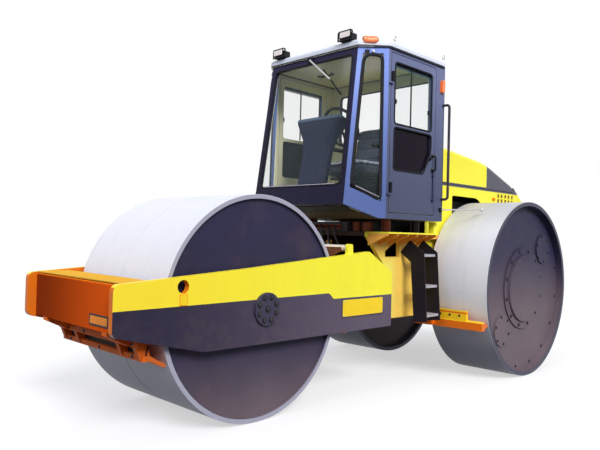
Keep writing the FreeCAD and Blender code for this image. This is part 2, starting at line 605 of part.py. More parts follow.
def steering_cylinders():
    """Two cylinders that turn the front frame; each rod's eye sits between the yoke's lugs."""
    reach_x = s.cyl_eye_x - s.cyl_base_x
    reach_y = s.cyl_eye_y - s.cyl_base_y
    length = math.hypot(reach_x, reach_y)
    eye = s.eye_radius
    start = s.barrel_start
    slide = s.rod_radius + s.fit_gap
    neck = eye + 22
    for word, side in SIDES:
        angle = math.degrees(math.atan2(side * reach_y, reach_x))
        turn = FreeCAD.Rotation(Vector(0, 0, 1), angle)
        along = FreeCAD.Rotation(Vector(0, 0, 1), angle - 90)
        y = "%d * cyl_base_y" % side
        tail_end = [(-eye, -eye, eye - 1), (neck, -eye), (neck, eye), (-eye, eye, eye - 1)]
        pin = (0, 0, s.cyl_pin_radius + s.fit_gap)
        bottom = start + 40
        tube = [(0, start), (s.barrel_radius, start, 6), (s.barrel_radius, start + s.barrel_length, 10),
                (slide, start + s.barrel_length), (slide, bottom), (0, bottom)]
        tail_body = place(panel("barrel_eye_" + word, "XY", tail_end, "eye_wall", circles=[pin]),
                          "cyl_base_x", y, "cyl_z - eye_wall / 2", turn)
        tube_body = place(turned("barrel_tube_" + word, tube), "cyl_base_x", y, "cyl_z", along)
        node(joined("barrel_" + word, [tail_body, tube_body]), "steer_barrel_" + word)

        tip = [(length + eye, -eye, eye - 1), (length + eye, eye, eye - 1), (length - neck, eye),
               (length - neck, -eye)]
        hole = (length, 0, s.cyl_pin_radius)
        shank = [(0, s.rod_start), (s.rod_radius, s.rod_start), (s.rod_radius, length - neck + 5),
                 (0, length - neck + 5)]
        tip_body = place(panel("rod_eye_" + word, "XY", tip, "eye_wall", circles=[hole]),
                         "cyl_base_x", y, "cyl_z - eye_wall / 2", turn)
        rod = place(turned("rod_shank_" + word, shank), "cyl_base_x", y, "cyl_z", along)
        node(joined("rod_" + word, [tip_body, rod]), "steer_rod_" + word)


HOOD_KNUCKLE_END = 340
HOOD_KNUCKLE_LENGTH = 120
DOOR_KNUCKLE_LENGTH = 90


def hood_line(depth=0.0):
    """The hood's crest from the cab back to its hinge, at a depth under the skin."""
    low = s.bay_split_z
    tail_x = -s.hood_tail
    return [(s.bay_front_x - depth, low + s.hood_rise - depth),
            (tail_x + 650, low + 284 - depth, 1500 - depth),
            (tail_x + 30 + depth / 2, low + 84 - depth, 200 - 4 * depth)]


def engine_and_bay():
    """Engine block and its bay: side walls with an arch over each wheel, tail wall and grille."""
    node(block("engine", "engine_length", "engine_width", "engine_height",
               "engine_front_x - engine_length", "0 - engine_width / 2", "engine_low_z"), "engine_block")
    front = s.bay_front_x
    rear = -s.bay_tail
    split = s.bay_split_z
    low = s.frame_top_z
    tail_z = split - s.bay_rear_drop
    step = -s.hood_tail - s.run_gap
    side_wall = [(front, low), (front, split), (step, split), (step, split + 58), (rear, tail_z), (rear, low)]
    arch_top = split - 109
    arch_front = s.wheel_radius / 2
    arch_rear = arch_front - s.arch_length
    arch = [(arch_front, low + 20, 20), (arch_front, arch_top, 20), (arch_rear, arch_top, 230),
            (arch_rear, low + 20, 20)]
    walls = []
    for word, side in SIDES:
        walls.append(place(panel("bay_side_" + word, "XZ", side_wall, "bay_wall", holes=[arch]),
                           0, "bay_half_width" if side > 0 else "bay_wall - bay_half_width", 0))
    width = "2 * (bay_half_width - bay_wall)"
    walls.append(block("bay_front", "bay_wall", width, "bay_height", "bay_front_x - bay_wall",
                       "bay_wall - bay_half_width", "frame_top_z"))
    half = s.bay_half_width - s.bay_wall
    wall = [(-half, low), (half, low), (half, tail_z), (-half, tail_z)]
    edge = half - 110
    hole_low = low + 46
    hole_high = low + 326
    grille_hole = [(-edge, hole_low), (edge, hole_low), (edge, hole_high), (-edge, hole_high)]
    walls.append(place(panel("bay_rear", "YZ", wall, "bay_wall", holes=[grille_hole]),
                       "0 - bay_tail", 0, 0))
    cap = [(step, split + 58), (rear, tail_z), (rear, tail_z - 22), (step, split + 36)]
    walls.append(place(panel("bay_cap", "XZ", cap, width, middle=True)))
    slope = (split + 58 - tail_z) / (step - rear)
    axis_x, axis_z = -s.hood_tail, s.hood_axis_z
    foot = [(x, split + 58 + (x - step) * slope - 4) for x in (axis_x - 50, axis_x - 8)]
    lug_outline = [foot[0], (axis_x - 12, axis_z + 9, 8), (axis_x + 7, axis_z + 9, 8),
                   (axis_x + 7, axis_z - 6, 7), (axis_x - 8, axis_z - 14), foot[1]]
    lug_wall = 12
    for word, side in SIDES:
        inner = HOOD_KNUCKLE_END + s.hinge_gap
        outer = inner + lug_wall
        walls.append(place(panel("hood_lug_" + word, "XZ", lug_outline, lug_wall), 0,
                           outer if side > 0 else -inner, 0))
        reach = outer - HOOD_KNUCKLE_END + HOOD_KNUCKLE_LENGTH - 20
        walls.append(bar("hood_pin_" + word, "Y", "hinge_pin_radius", reach, axis_x,
                         outer - reach if side > 0 else -outer, axis_z))
    vents = [block("vent_%d_%d" % (row, column), 14, "2 * bay_half_width + 20", 22, step + 345 - 46 * column,
                   "0 - bay_half_width - 10", split - 66 - 40 * row)
             for row in range(2) for column in range(5)]
    node(cut("bay_walls", joined("bay_shell", walls), vents), "engine_bay")

    slat_count = int((hole_high - hole_low) // s.grille_pitch)
    slats = [block("grille_slat_%d" % i, 12, 2 * edge, 10, rear + 4, -edge,
                   hole_low + 10 + s.grille_pitch * i) for i in range(slat_count)]
    posts = [block("grille_post_%d" % i, 12, 14, hole_high - hole_low, rear + 4, y, hole_low)
             for i, y in enumerate((-edge, -edge / 3 - 7, edge / 3 - 7, edge - 14))]
    node(joined("grille_rear", slats + posts), "rear_grille")


def hood():
    """The hood: a shell with rounded shoulders that tips up about two knuckles at its tail."""
    lid_low = s.bay_split_z + s.run_gap + 1
    wall = s.bay_wall
    tail_x = -s.hood_tail
    outer = [(s.bay_front_x, lid_low)] + hood_line() + [(tail_x, s.bay_split_z + 63), (tail_x, lid_low)]
    inner = [(s.bay_front_x - wall, lid_low - wall)] + hood_line(wall) + [
        (tail_x + wall, s.bay_split_z + 51), (tail_x + wall, lid_low - wall)]
    shell = panel("hood_outer", "XZ", outer, "2 * bay_half_width", middle=True)
    round_over(shell, "hood_shoulder", "hood_round",
               lambda edge: edge_is_long_top(edge, s.bay_half_width, s.bay_split_z + 40))
    core = panel("hood_inner", "XZ", inner, "2 * (bay_half_width - bay_wall)", middle=True)
    lid = cut("hood_shell", place(shell), [place(core)])
    bore = s.hinge_pin_radius + s.fit_gap
    knuckles = []
    for word, side in SIDES:
        tube = [(bore, 0), (s.hinge_radius, 0), (s.hinge_radius, HOOD_KNUCKLE_LENGTH),
                (bore, HOOD_KNUCKLE_LENGTH)]
        start = HOOD_KNUCKLE_END - HOOD_KNUCKLE_LENGTH if side > 0 else -HOOD_KNUCKLE_END
        knuckles.append(place(turned("hood_knuckle_" + word, tube), "0 - hood_tail", start,
                              "hood_axis_z"))
    node(joined("hood_lid", [lid] + knuckles), "hood")


def edge_is_long_top(edge, half_width, above):
    """True for an edge along a side's top outline."""
    ends = [v.Point for v in edge.Vertexes]
    if len(ends) < 2:
        return False
    on_side = all(abs(abs(p.y) - half_width) < 0.1 for p in ends)
    return on_side and min(p.z for p in ends) > above and abs(ends[0].y - ends[1].y) < 1


def round_over(body, name, radius, wanted):
    """Round the wanted edges of a body's last solid."""
    doc.recompute()
    base = body.Tip
    names = ["Edge%d" % (i + 1) for i, edge in enumerate(base.Shape.Edges) if wanted(edge)]
    fillet = body.newObject("PartDesign::Fillet", name)
    fillet.Base = (base, names)
    bind(fillet, Radius=radius)
    return fillet


def front_corner(z):
    """The cab's front corner at a height: it leans back and in."""
    share = (z - s.cab_toe_z) / (s.cab_top_z - s.cab_toe_z)
    return s.cab_front_x - s.cab_lean * share, s.cab_front_half - s.cab_lean_in * share


def corner_line(z):
    """The corner panel's outer line at a height: its front end, its direction and its outward side."""
    xf, yf = front_corner(z)
    along = Vector(s.cab_post_x - xf, s.cab_half_width - yf, 0)
    length = along.Length
    along.normalize()
    return Vector(xf, yf, 0), along, Vector(along.y, -along.x, 0), length


def at_depth(z, depth, x=None, y=None):
    """Where the line at a depth inside the corner panel meets a station or a width."""
    corner, along, out, length = corner_line(z)
    start = corner - out * depth
    if x is not None:
        return start + along * ((x - start.x) / along.x)
    return start + along * ((y - start.y) / along.y)


def corner_section(z, side, outside, inside):
    """A corner panel's level section between two depths, ended at the post and beside the front."""
    yf = front_corner(z)[1] + 0.5
    spots = [at_depth(z, outside, y=yf), at_depth(z, outside, x=s.cab_post_x),
             at_depth(z, inside, x=s.cab_post_x), at_depth(z, inside, y=yf)]
    return [(p.x, side * p.y) for p in spots]


def corner_opening(z, side, margin):
    """The corner window's level section, square to the panel and right through it."""
    corner, along, out, length = corner_line(z)
    front = corner + along * margin
    rear = corner + along * (length - margin)
    beyond = s.cab_wall + 40
    spots = [front + out * 30, rear + out * 30, rear - out * beyond, front - out * beyond]
    return [(p.x, side * p.y) for p in spots]


def toe_profile():
    """The floor's side view: level, then rising to the front. Pairs of station and underside."""
    return [(s.cab_rear_x, s.cab_low_z), (s.cab_post_x + 60, s.cab_low_z),
            (s.cab_front_x + 35, s.cab_low_z + s.cab_toe_rise + 13)]


def toe_height(x):
    """Top of the cab floor at a station."""
    start, end = toe_profile()[1:]
    slope = (end[1] - start[1]) / (end[0] - start[0])
    return s.cab_floor_z + max(0, x - start[0]) * slope


def cab_floor():
    """The floor, inside the walls, with its toe rising to the front."""
    wall = s.cab_wall
    half = s.cab_half_width - wall
    low = s.cab_low_z
    fit = 5
    post = at_depth(s.cab_toe_z, wall + fit, y=half)
    nose_x = s.cab_front_x - wall - 13
    nose = at_depth(s.cab_toe_z, wall + fit, x=nose_x)
    plan = [(s.cab_rear_x + wall, -half), (post.x, -half), (nose_x, -nose.y), (nose_x, nose.y),
            (post.x, half), (s.cab_rear_x + wall, half)]
    under = toe_profile()
    over = [(x, z + s.cab_floor_wall) for x, z in reversed(under)]
    slab = place(panel("floor_plan", "XY", plan, 400), 0, 0, low)
    slope = place(panel("floor_profile", "XZ", under + over, "2 * cab_half_width", middle=True))
    node(shared("floor_cab", slab, slope), "cab_floor")


def cab_front():
    """The leaning front frame; returns its pane."""
    rise = s.cab_top_z - s.cab_toe_z
    lean = math.degrees(math.atan2(s.cab_lean, rise))
    tall = math.hypot(s.cab_lean, rise)
    turn = FreeCAD.Rotation(Vector(0, 1, 0), -lean)
    foot = s.cab_front_half
    head = foot - s.cab_lean_in
    frame_outline = [(-foot, 0), (foot, 0), (head, tall), (-head, tall)]
    side_bar, sill, head_bar = 48, 168, 56
    screen = [(side_bar - foot, sill, 40), (foot - side_bar, sill, 40),
              (head - side_bar, tall - head_bar, 40), (side_bar - head, tall - head_bar, 40)]
    frame = panel("screen_frame", "YZ", frame_outline, "cab_wall", holes=[screen])
    frame.Tip.Reversed = True
    node(place(frame, "cab_front_x", 0, "cab_toe_z", turn), "cab_front")
    glass = panel("screen_glass", "YZ", screen, "glass_wall")
    glass.Tip.Reversed = True
    return place(glass, "cab_front_x - glass_depth * %.6f" % math.cos(math.radians(lean)), 0,
                 "cab_toe_z - glass_depth * %.6f" % math.sin(math.radians(lean)), turn)


def cab_corners():
    """The twisted panels between front and sides, cut to the rising toe; returns their panes."""
    low = s.cab_low_z
    top = s.cab_top_z
    width = "2 * cab_half_width"
    under = toe_profile()
    below = [(s.cab_post_x - 100, low - 75), (s.cab_post_x - 100, low), under[1], under[2],
             (under[2][0], low - 75)]
    sill = [(s.cab_post_x - 100, low + 25), (s.cab_post_x - 100, low + 85),
            (s.cab_front_x + 65, low + 295), (s.cab_front_x + 65, low + 25)]
    panes = []
    for word, side in SIDES:
        skin = place(lofted("quarter_skin_" + word,
                            [(z, corner_section(z, side, 0, s.cab_wall)) for z in (low, top)]))
        hole = place(lofted("quarter_hole_" + word,
                            [(z, corner_opening(z, side, 46)) for z in (low + 135, top - 50)]))
        sill_body = place(panel("quarter_sill_" + word, "XZ", sill, width, middle=True))
        opening = cut("quarter_opening_" + word, hole, [sill_body])
        wedge = place(panel("quarter_wedge_" + word, "XZ", below, width, middle=True))
        node(cut("quarter_" + word, skin, [opening, wedge]), "cab_corner_" + word)
        deep = s.glass_depth
        pane = place(lofted("quarter_pane_" + word,
                            [(z, corner_section(z, side, deep, deep + s.glass_wall))
                             for z in (low, top)]))
        panes.append(shared("quarter_glass_" + word, pane, opening))
    return panes


def door_hinge_heights():
    """Undersides of a door's two knuckles."""
    return s.door_low_z + 160, s.door_low_z + 1090


def cab_sides():
    """A frame round each doorway, with a lug and an upright pin under each of the door's knuckles."""
    gap = s.door_gap
    door = [(s.door_rear_x - gap, s.door_low_z - gap, 20), (s.door_front_x + gap, s.door_low_z - gap, 20),
            (s.door_front_x + gap, s.door_top_z + gap, 20), (s.door_rear_x - gap, s.door_top_z + gap, 20)]
    outline = [(s.cab_rear_x, s.cab_low_z, 20), (s.cab_post_x, s.cab_low_z), (s.cab_post_x, s.cab_top_z),
               (s.cab_rear_x, s.cab_top_z)]
    for word, side in SIDES:
        frame = panel("side_frame_" + word, "XZ", outline, "cab_wall", holes=[door])
        start = "cab_half_width" if side > 0 else "cab_wall - cab_half_width"
        pieces = [place(frame, 0, start, 0)]
        axis_x = s.door_front_x - 8
        face = s.cab_half_width
        leaf = [(axis_x - 9, side * (face + 2), 8), (axis_x + 14, side * (face + 2)),
                (axis_x + 20, side * face), (s.cab_post_x, side * face),
                (s.cab_post_x, side * (face + 20)), (axis_x - 9, side * (face + 20), 8)]
        for i, z in enumerate(door_hinge_heights()):
            under = z - s.hinge_gap - 14
            pieces.append(place(panel("door_lug_%s_%d" % (word, i), "XY", leaf, 14), 0, 0, under))
            pieces.append(bar("door_pin_%s_%d" % (word, i), "Z", "hinge_pin_radius",
                              DOOR_KNUCKLE_LENGTH - 20, axis_x, side * (face + 11), under))
        node(joined("side_" + word, pieces), "cab_side_" + word)


def cab_rear():
    """The rear wall with its window; returns the pane."""
    half = s.cab_half_width - s.cab_wall
    low, top = s.cab_low_z, s.cab_top_z
    edge = half - 90
    wall = [(-half, low), (half, low), (half, top), (-half, top)]
    window = [(-edge, top - 600, 40), (edge, top - 600, 40), (edge, top - 100, 40), (-edge, top - 100, 40)]
    node(place(panel("rear_wall", "YZ", wall, "cab_wall", holes=[window]), "cab_rear_x", 0, 0), "cab_rear")
    return place(panel("rear_pane", "YZ", window, "glass_wall"), "cab_rear_x + glass_depth", 0, 0)


def cab_roof():
    """The roof cap, which overhangs the walls as a gutter, with a lifting eye at each corner."""
    over = s.roof_lip
    xf, yf = front_corner(s.cab_top_z)
    side = s.cab_half_width + over
    plan = [(s.cab_rear_x - over, -side, 60), (s.cab_post_x, -side, 60), (xf + over, -yf - over, 40),
            (xf + over, yf + over, 40), (s.cab_post_x, side, 60), (s.cab_rear_x - over, side, 60)]
    cap = panel("roof_cap", "XY", plan, "roof_wall")
    round_over(cap, "roof_rounding", "roof_round",
               lambda edge: min(v.Point.z for v in edge.Vertexes) > s.roof_wall - 1)
    pieces = [place(cap, 0, 0, "cab_top_z")]
    for i, (x, y) in enumerate(((1060, 560), (1060, -560), (1640, 560), (1640, -560))):
        eye = doc.addObject("Part::Torus", "roof_eye_%d" % i)
        bind(eye, Radius1=17, Radius2=6)
        place(eye, x, y, "cab_top_z + roof_wall + 15", UPRIGHT)
        pieces.append(eye)
    node(joined("cap_and_eyes", pieces), "cab_roof")


def doors():
    """Doors hinged at their front edges, each with a two-pane window and hinge knuckles."""
    front, rear = s.door_front_x, s.door_rear_x
    low, top = s.door_low_z, s.door_top_z
    leaf = [(rear, low, 16), (front, low, 16), (front, top, 16), (rear, top, 16)]
    near, far = front - 50, rear + 62
    waist = low + 750
    upper = [(far, waist, 25), (near, waist, 25), (near, top - 70, 25), (far, top - 70, 25)]
    lower = [(far + 128, low + 360, 25), (near, low + 360, 25), (near, waist - 30, 25),
             (far, waist - 30, 25), (far, low + 490, 25)]
    for word, side in SIDES:
        out = "cab_half_width" if side > 0 else "cab_wall - cab_half_width"
        body = place(panel("door_leaf_" + word, "XZ", leaf, "cab_wall", holes=[upper, lower]), 0, out, 0)
        pieces = [body]
        bore = s.hinge_pin_radius + s.fit_gap
        tube = [(bore, 0), (s.hinge_radius, 0), (s.hinge_radius, DOOR_KNUCKLE_LENGTH),
                (bore, DOOR_KNUCKLE_LENGTH)]
        for i, z in enumerate(door_hinge_heights()):
            knuckle = turned("door_knuckle_%s_%d" % (word, i), tube)
            pieces.append(place(knuckle, front - 8, side * (s.cab_half_width + 11), z, UPRIGHT))
        node(joined("door_" + word, pieces), "door_" + word)
        panes = []
        pane_y = "%d * (cab_half_width - cab_wall / 2) + glass_wall / 2" % side
        for label, outline in (("upper", upper), ("lower", lower)):
            pane = panel("door_pane_%s_%s" % (word, label), "XZ", outline, "glass_wall")
            panes.append(place(pane, 0, pane_y, 0))
        node(together("door_glass_" + word, panes), "door_glass_" + word)


def driver_seat():
    """The seat on its box, with a rounded cushion and back and two arm rests."""
    floor = s.cab_floor_z
    back_x = s.cab_rear_x + 70
    box = block("seat_base", 360, 380, 335, back_x + 50, -190, floor)
    cushion = [(back_x + 40, floor + 335), (back_x + 550, floor + 335, 30), (back_x + 560, floor + 455, 50),
               (back_x + 180, floor + 445, 30), (back_x + 110, floor + 925, 50),
               (back_x, floor + 925, 50), (back_x + 30, floor + 385, 20)]
    pad = place(panel("seat_pad", "XZ", cushion, 500, middle=True))
    arms = [block("seat_arm_%d" % i, 340, 60, 40, back_x + 100, y, floor + 615)
            for i, y in enumerate((-290, 230))]
    links = [block("seat_link_%d" % i, 40, 60, 240, back_x + 110, y, floor + 385)
             for i, y in enumerate((-290, 230))]
    node(joined("seat_all", [box, pad] + arms + links), "operator_seat")


def console():
    """The console under its wide sloping head, and the steering wheel on a long tilted column."""
    floor = s.cab_floor_z
    foot_x = s.cab_front_x - 200
    top = floor + 775
    slope = 60 * math.tan(math.radians(28))
    column = [(foot_x, toe_height(foot_x)), (foot_x + 80, toe_height(foot_x + 80)),
              (foot_x + 30, top - 60), (foot_x - 60, top - 60)]
    head = [(foot_x - 140, top, 4), (foot_x - 80, top + slope, 4), (foot_x - 20, top + slope, 20),
            (foot_x + 35, top - 40, 30), (foot_x - 20, top - 130, 20)]
    tilt = FreeCAD.Rotation(Vector(0, 1, 0), -58)
    hub = Vector(foot_x - 374, 0, top + 39)
    boss = doc.addObject("Part::Cylinder", "column_boss")
    bind(boss, Radius=30, Height=110)
    start = hub - tilt.multVec(Vector(0, 0, 430))
    place(boss, start.x, 0, start.z, tilt)
    node(joined("dash", [place(panel("dash_column", "XZ", column, 400, middle=True)),
                         place(panel("dash_head", "XZ", head, 540, middle=True)), boss]),
         "dash_console")

    post = doc.addObject("Part::Cylinder", "wheel_post")
    bind(post, Radius=18, Height=330)
    start = hub - tilt.multVec(Vector(0, 0, 320))
    place(post, start.x, 0, start.z, tilt)
    ring = doc.addObject("Part::Torus", "wheel_ring")
    bind(ring, Radius1=190, Radius2=14)
    place(ring, hub.x, 0, hub.z, tilt)
    spokes = []
    for i in range(3):
        spoke = doc.addObject("Part::Box", "wheel_spoke_%d" % i)
        bind(spoke, Length=186, Width=22, Height=10)
        turn = tilt.multiply(FreeCAD.Rotation(Vector(0, 0, 1), 60 + 120 * i))
        start = hub + turn.multVec(Vector(0, -11, -5))
        place(spoke, start.x, start.y, start.z, turn)
        spokes.append(spoke)
    node(joined("wheel_steer", [post, ring] + spokes), "steering_wheel")


def ladders():
    """Steps to each door: two strips with a pointed head, joined by treads, on the frame plates."""
    plate_y = s.plate_y
    low = s.frame_low_z
    strip = [(plate_y, low + 597), (plate_y, low + 607), (plate_y + 100, low + 714),
             (plate_y + 254, low + 605, 20), (plate_y + 298, low - 10), (plate_y + 158, low - 27),
             (plate_y + 112, low + 515)]
    rear_x = s.wheel_radius + 140
    pitch = 214
    treads = ((120, 567), (145, 287), (165, 27))
    pieces = []
    for word, side in SIDES:
        outline = [(side * corner[0],) + corner[1:] for corner in strip]
        for i, x in enumerate((rear_x + pitch, rear_x)):
            pieces.append(place(panel("ladder_plate_%s_%d" % (word, i), "YZ", outline, 8), x, 0, 0))
        for i, (out, up) in enumerate(treads):
            start = plate_y + out if side > 0 else -(plate_y + out + 115)
            pieces.append(block("ladder_tread_%s_%d" % (word, i), pitch - 8, 115, 22, rear_x + 8, start,
                                low + up))
    node(joined("ladder_all", pieces), "ladders")


def grab_rails():
    """A bent round rail behind each door."""
    x = s.cab_rear_x + 25
    high, low = s.cab_top_z - 350, s.cab_low_z + 205
    rails = []
    for word, side in SIDES:
        near = side * s.cab_half_width
        far = side * (s.cab_half_width + s.rail_reach)
        rails.append(rail("grab_rail_" + word, s.rail_radius,
                          [(x, near, high), (x, far, high), (x, far, low), (x, near, low)]))
    node(together("rails_cab", rails), "grab_rails")


def cab_mounts():
    """Round mounts that carry the cab on the frame."""
    spots = [(side * 450, x) for word, side in SIDES for x in (70, 520)]
    mounts = [bar("cab_mount_%d" % i, "Z", "mount_radius", "cab_lift", s.cab_rear_x + x, y, "frame_top_z")
              for i, (y, x) in enumerate(spots)]
    node(together("mounts_cab", mounts), "cab_mounts")


def lamps():
    """Two work lamps in hoops on the roof's front edge, and amber markers on roof and rear posts."""
    roof_z = s.cab_top_z + s.roof_wall
    lamp_x = s.cab_front_x - 215
    wide = s.lamp_width / 2
    tall = s.lamp_height
    case = [(-wide + 8, 0), (wide - 8, 0), (wide - 8, tall - 12, 16), (-wide + 8, tall - 12, 16)]
    hoop = [(-wide - 6, 0), (wide + 6, 0), (wide + 6, tall + 8, 22), (-wide - 6, tall + 8, 22)]
    gap = [(-wide + 2, 10), (wide - 2, 10), (wide - 2, tall, 16), (-wide + 2, tall, 16)]
    works = []
    for word, side in SIDES:
        y = side * 405
        body = place(panel("lamp_case_" + word, "YZ", case, "lamp_depth"), lamp_x, y, roof_z)
        guard = place(panel("lamp_hoop_" + word, "YZ", hoop, 12, holes=[gap]), lamp_x + s.lamp_depth, y,
                      roof_z)
        works.append(joined("lamp_" + word, [body, guard]))
    node(together("lamps_work", works), "work_lamps")

    markers = []
    lens = [(-55, 0), (55, 0), (42, 46, 18), (-42, 46, 18)]
    for word, side in SIDES:
        markers.append(place(panel("roof_marker_" + word, "XZ", lens, 50), s.cab_post_x - 90,
                             side * 500 + 25, roof_z))
        near = s.cab_half_width if side > 0 else -s.cab_half_width - 26
        markers.append(place(panel("post_marker_" + word, "XZ", [(-22, -55, 8), (22, -55, 8), (22, 55, 8),
                                                                 (-22, 55, 8)], 26),
                             s.cab_rear_x + 55, near + 26, s.cab_top_z - 180))
    node(together("markers", markers), "marker_lamps")


def rail(name, radius, points):
    """A bent round rail: straight runs joined by tangent arcs, swept as one tube."""
    spots = [Vector(s.rear_axle_x + x, y, z) for x, y, z in points]
    edges = []
    start = spots[0]
    for i in range(1, len(spots) - 1):
        back = (spots[i - 1] - spots[i])
        ahead = (spots[i + 1] - spots[i])
        cut_back = 0.4 * min(back.Length, ahead.Length)
        a = spots[i] + back.normalize() * cut_back
        b = spots[i] + ahead.normalize() * cut_back
        half = back.getAngle(ahead) / 2
        centre = spots[i] + (back + ahead).normalize() * (cut_back / math.cos(half))
        middle = centre + (spots[i] - centre).normalize() * (cut_back * math.tan(half))
        edges.append(Part.LineSegment(start, a).toShape())
        edges.append(Part.Arc(a, middle, b).toShape())
        start = b
    edges.append(Part.LineSegment(start, spots[-1]).toShape())
    path = Part.Wire(edges)
    first = (spots[1] - spots[0]).normalize()
    ring = Part.Wire(Part.Circle(spots[0], first, radius).toShape())
    feature = doc.addObject("Part::Feature", name)
    feature.Shape = path.makePipeShell([ring], True, True)
    return feature


def cab():
    """Cab of flat panels: floor, leaning front, twisted corner panels, sides, rear and roof."""
    cab_floor()
    panes = [cab_front()] + cab_corners()
    cab_sides()
    panes.append(cab_rear())
    node(together("glass_fixed", panes), "cab_glass")
    cab_roof()


def check_and_write():
    """Stop on a failed object or shape, then write each sub-part to its own file."""
    doc.recompute()
    for thing in doc.Objects:
        if "Invalid" in thing.State or "Error" in thing.State:
            raise RuntimeError("%s failed: %s" % (thing.Label, thing.State))
    os.makedirs("parts", exist_ok=True)
    for thing in NODES:
        shape = thing.Shape
        if shape.isNull() or not shape.isValid() or not shape.Solids:
            raise RuntimeError("%s has no sound shape" % thing.Label)
        shape.exportStep("parts/%s.step" % thing.Label)
        print("%-22s %2d solid(s) %8.1f dm3" % (thing.Label, len(shape.Solids), shape.Volume / 1e6))


for make in (front_drum, front_axle, rear_wheels, rear_axle, front_frame, front_scraper, rear_scraper,
             wheel_scrapers, rear_frame, pivot_pin, tail, steering_cylinders, engine_and_bay, hood, cab,
             doors, driver_seat, console, ladders, grab_rails, cab_mounts, lamps):
    make()
check_and_write()
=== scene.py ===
"""Looks of a static road roller with three steel drums.

The frame's own pieces keep their shape and get their finishes here. Bolts, blank plates, lenses,
seals, wiper, handles, inside fittings and the padded seat are surfaces worked out with numpy.
Everything is in metres: x points forward, y to the left and z up from the ground.
"""

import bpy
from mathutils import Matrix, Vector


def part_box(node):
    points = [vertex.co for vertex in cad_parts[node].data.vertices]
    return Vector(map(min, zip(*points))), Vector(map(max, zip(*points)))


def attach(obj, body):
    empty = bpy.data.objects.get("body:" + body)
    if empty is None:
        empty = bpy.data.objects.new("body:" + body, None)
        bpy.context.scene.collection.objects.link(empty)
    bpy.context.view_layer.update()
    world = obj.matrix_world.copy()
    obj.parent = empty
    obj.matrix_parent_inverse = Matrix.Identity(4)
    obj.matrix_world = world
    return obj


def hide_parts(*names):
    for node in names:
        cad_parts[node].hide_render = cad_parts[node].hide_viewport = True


bl_info = {
    "name": "Road Roller Looks",
    "version": (1, 0, 0),
    "blender": (4, 5, 0),
    "location": "View3D > Sidebar > Roller",
    "description": "Finishes and small pieces of a static road roller",
    "category": "Object",
}

import bpy
import numpy as np
from bpy.props import FloatProperty, FloatVectorProperty, IntProperty, PointerProperty
from mathutils import Matrix, Vector

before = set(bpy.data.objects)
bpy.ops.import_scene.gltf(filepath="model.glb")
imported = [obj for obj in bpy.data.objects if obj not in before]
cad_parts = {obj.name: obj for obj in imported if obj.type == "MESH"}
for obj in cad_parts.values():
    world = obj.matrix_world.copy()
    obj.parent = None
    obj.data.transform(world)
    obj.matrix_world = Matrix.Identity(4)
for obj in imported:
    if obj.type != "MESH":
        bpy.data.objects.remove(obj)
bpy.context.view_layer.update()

DRUM = (1.615, 0.800)         # x and z of the front drum's centre
WHEEL = (-1.420, 0.850)       # x and z of the rear wheels' centre
YOKE_FACE = 0.624             # outer face of the yoke's side plates
HUB_FACE = 0.644              # outer face of the front hubs' flanges
NOSE_FACE = 2.720             # front face of the yoke's nose
DOOR_FACE = 0.700             # outer face of the cab's sides and doors
CAB_REAR = -0.480             # outer face of the cab's rear wall
CAB_FLOOR = 1.520
WALL = 0.0355                 # just more than the cab walls' thickness
SCREEN_FOOT = (0.745, 1.580)  # x and z of the leaning windscreen frame at its foot
SCREEN_HEAD = (0.570, 2.900)
SCREEN_HALF = (0.547, 0.521)  # half widths of that frame at its foot and head
SCREEN_LEAN, SCREEN_RISE = SCREEN_FOOT[0] - SCREEN_HEAD[0], SCREEN_HEAD[1] - SCREEN_FOOT[1]
SCREEN_OUT = np.array([SCREEN_RISE, 0, SCREEN_LEAN])
SCREEN_TALL = np.linalg.norm(SCREEN_OUT)
SCREEN_OUT /= SCREEN_TALL
POST = 0.380                  # x of the door post, where the corner panels end
SHELF = 1.364                 # upper face of the chassis under the cab
BAY_FACE = 0.490              # outer face of the engine bay
LAMP_WALL = -2.585            # rear face that carries the tail lamps
STRIPE = (1.848, 1.886)       # dark stripe along the bay and the hood
CELL, PRESSURE, FRAMES, CAP = 0.009, 4.0, 14, 0.016  # the seat's cloth and how far it may move
SEW_WIDE, SEW_DEEP = 0.007, 0.010                    # the seat's sewn channels
ORIGIN, FORE, AFT, LEFT, UP = (0, 0, 0), (1, 0, 0), (-1, 0, 0), (0, 1, 0), (0, 0, 1)


def display(red, green, blue):
    """Linear colour of a display colour given from 0 to 255."""
    c = np.array([red, green, blue]) / 255
    return tuple(np.where(c <= 0.04045, c / 12.92, ((c + 0.055) / 1.055) ** 2.4).round(5).tolist())


def colour(name, words, *shade):
    return FloatVectorProperty(name=name, description=words, subtype="COLOR", size=3,
                               min=0, max=1, default=display(*shade))


def length(name, words, metres):
    return FloatProperty(name=name, description=words, subtype="DISTANCE", unit="LENGTH",
                         min=0, soft_max=2, default=metres)


class RollerPaints(bpy.types.PropertyGroup):
    """Colours of the roller's finishes."""
    yellow: colour("Yellow", "Enamel of yoke, frame and hood", 254, 242, 66)
    orange: colour("Orange", "Enamel of pegs, latches and small plates", 240, 138, 22)
    charcoal: colour("Charcoal", "Front axle, tail and the side plates' edges", 58, 54, 78)
    cab: colour("Cab blue-grey", "Outside of the cab", 78, 84, 112)
    lining: colour("Lining", "Inside of the cab", 252, 250, 214)
    roof: colour("Roof", "Cap of the cab", 230, 236, 255)
    black: colour("Black", "Lamps, handles and hinges", 22, 20, 28)
    disc: colour("Disc", "End discs of the drums", 48, 47, 74)
    steel: colour("Rolled steel", "Rolling faces", 226, 228, 240)
    amber: colour("Amber", "Marker lenses", 250, 112, 12)
    cloth: colour("Seat cloth", "Cushion and back", 48, 56, 82)
    cover: colour("Seat cover", "Thin cover on the cushion", 186, 200, 224)


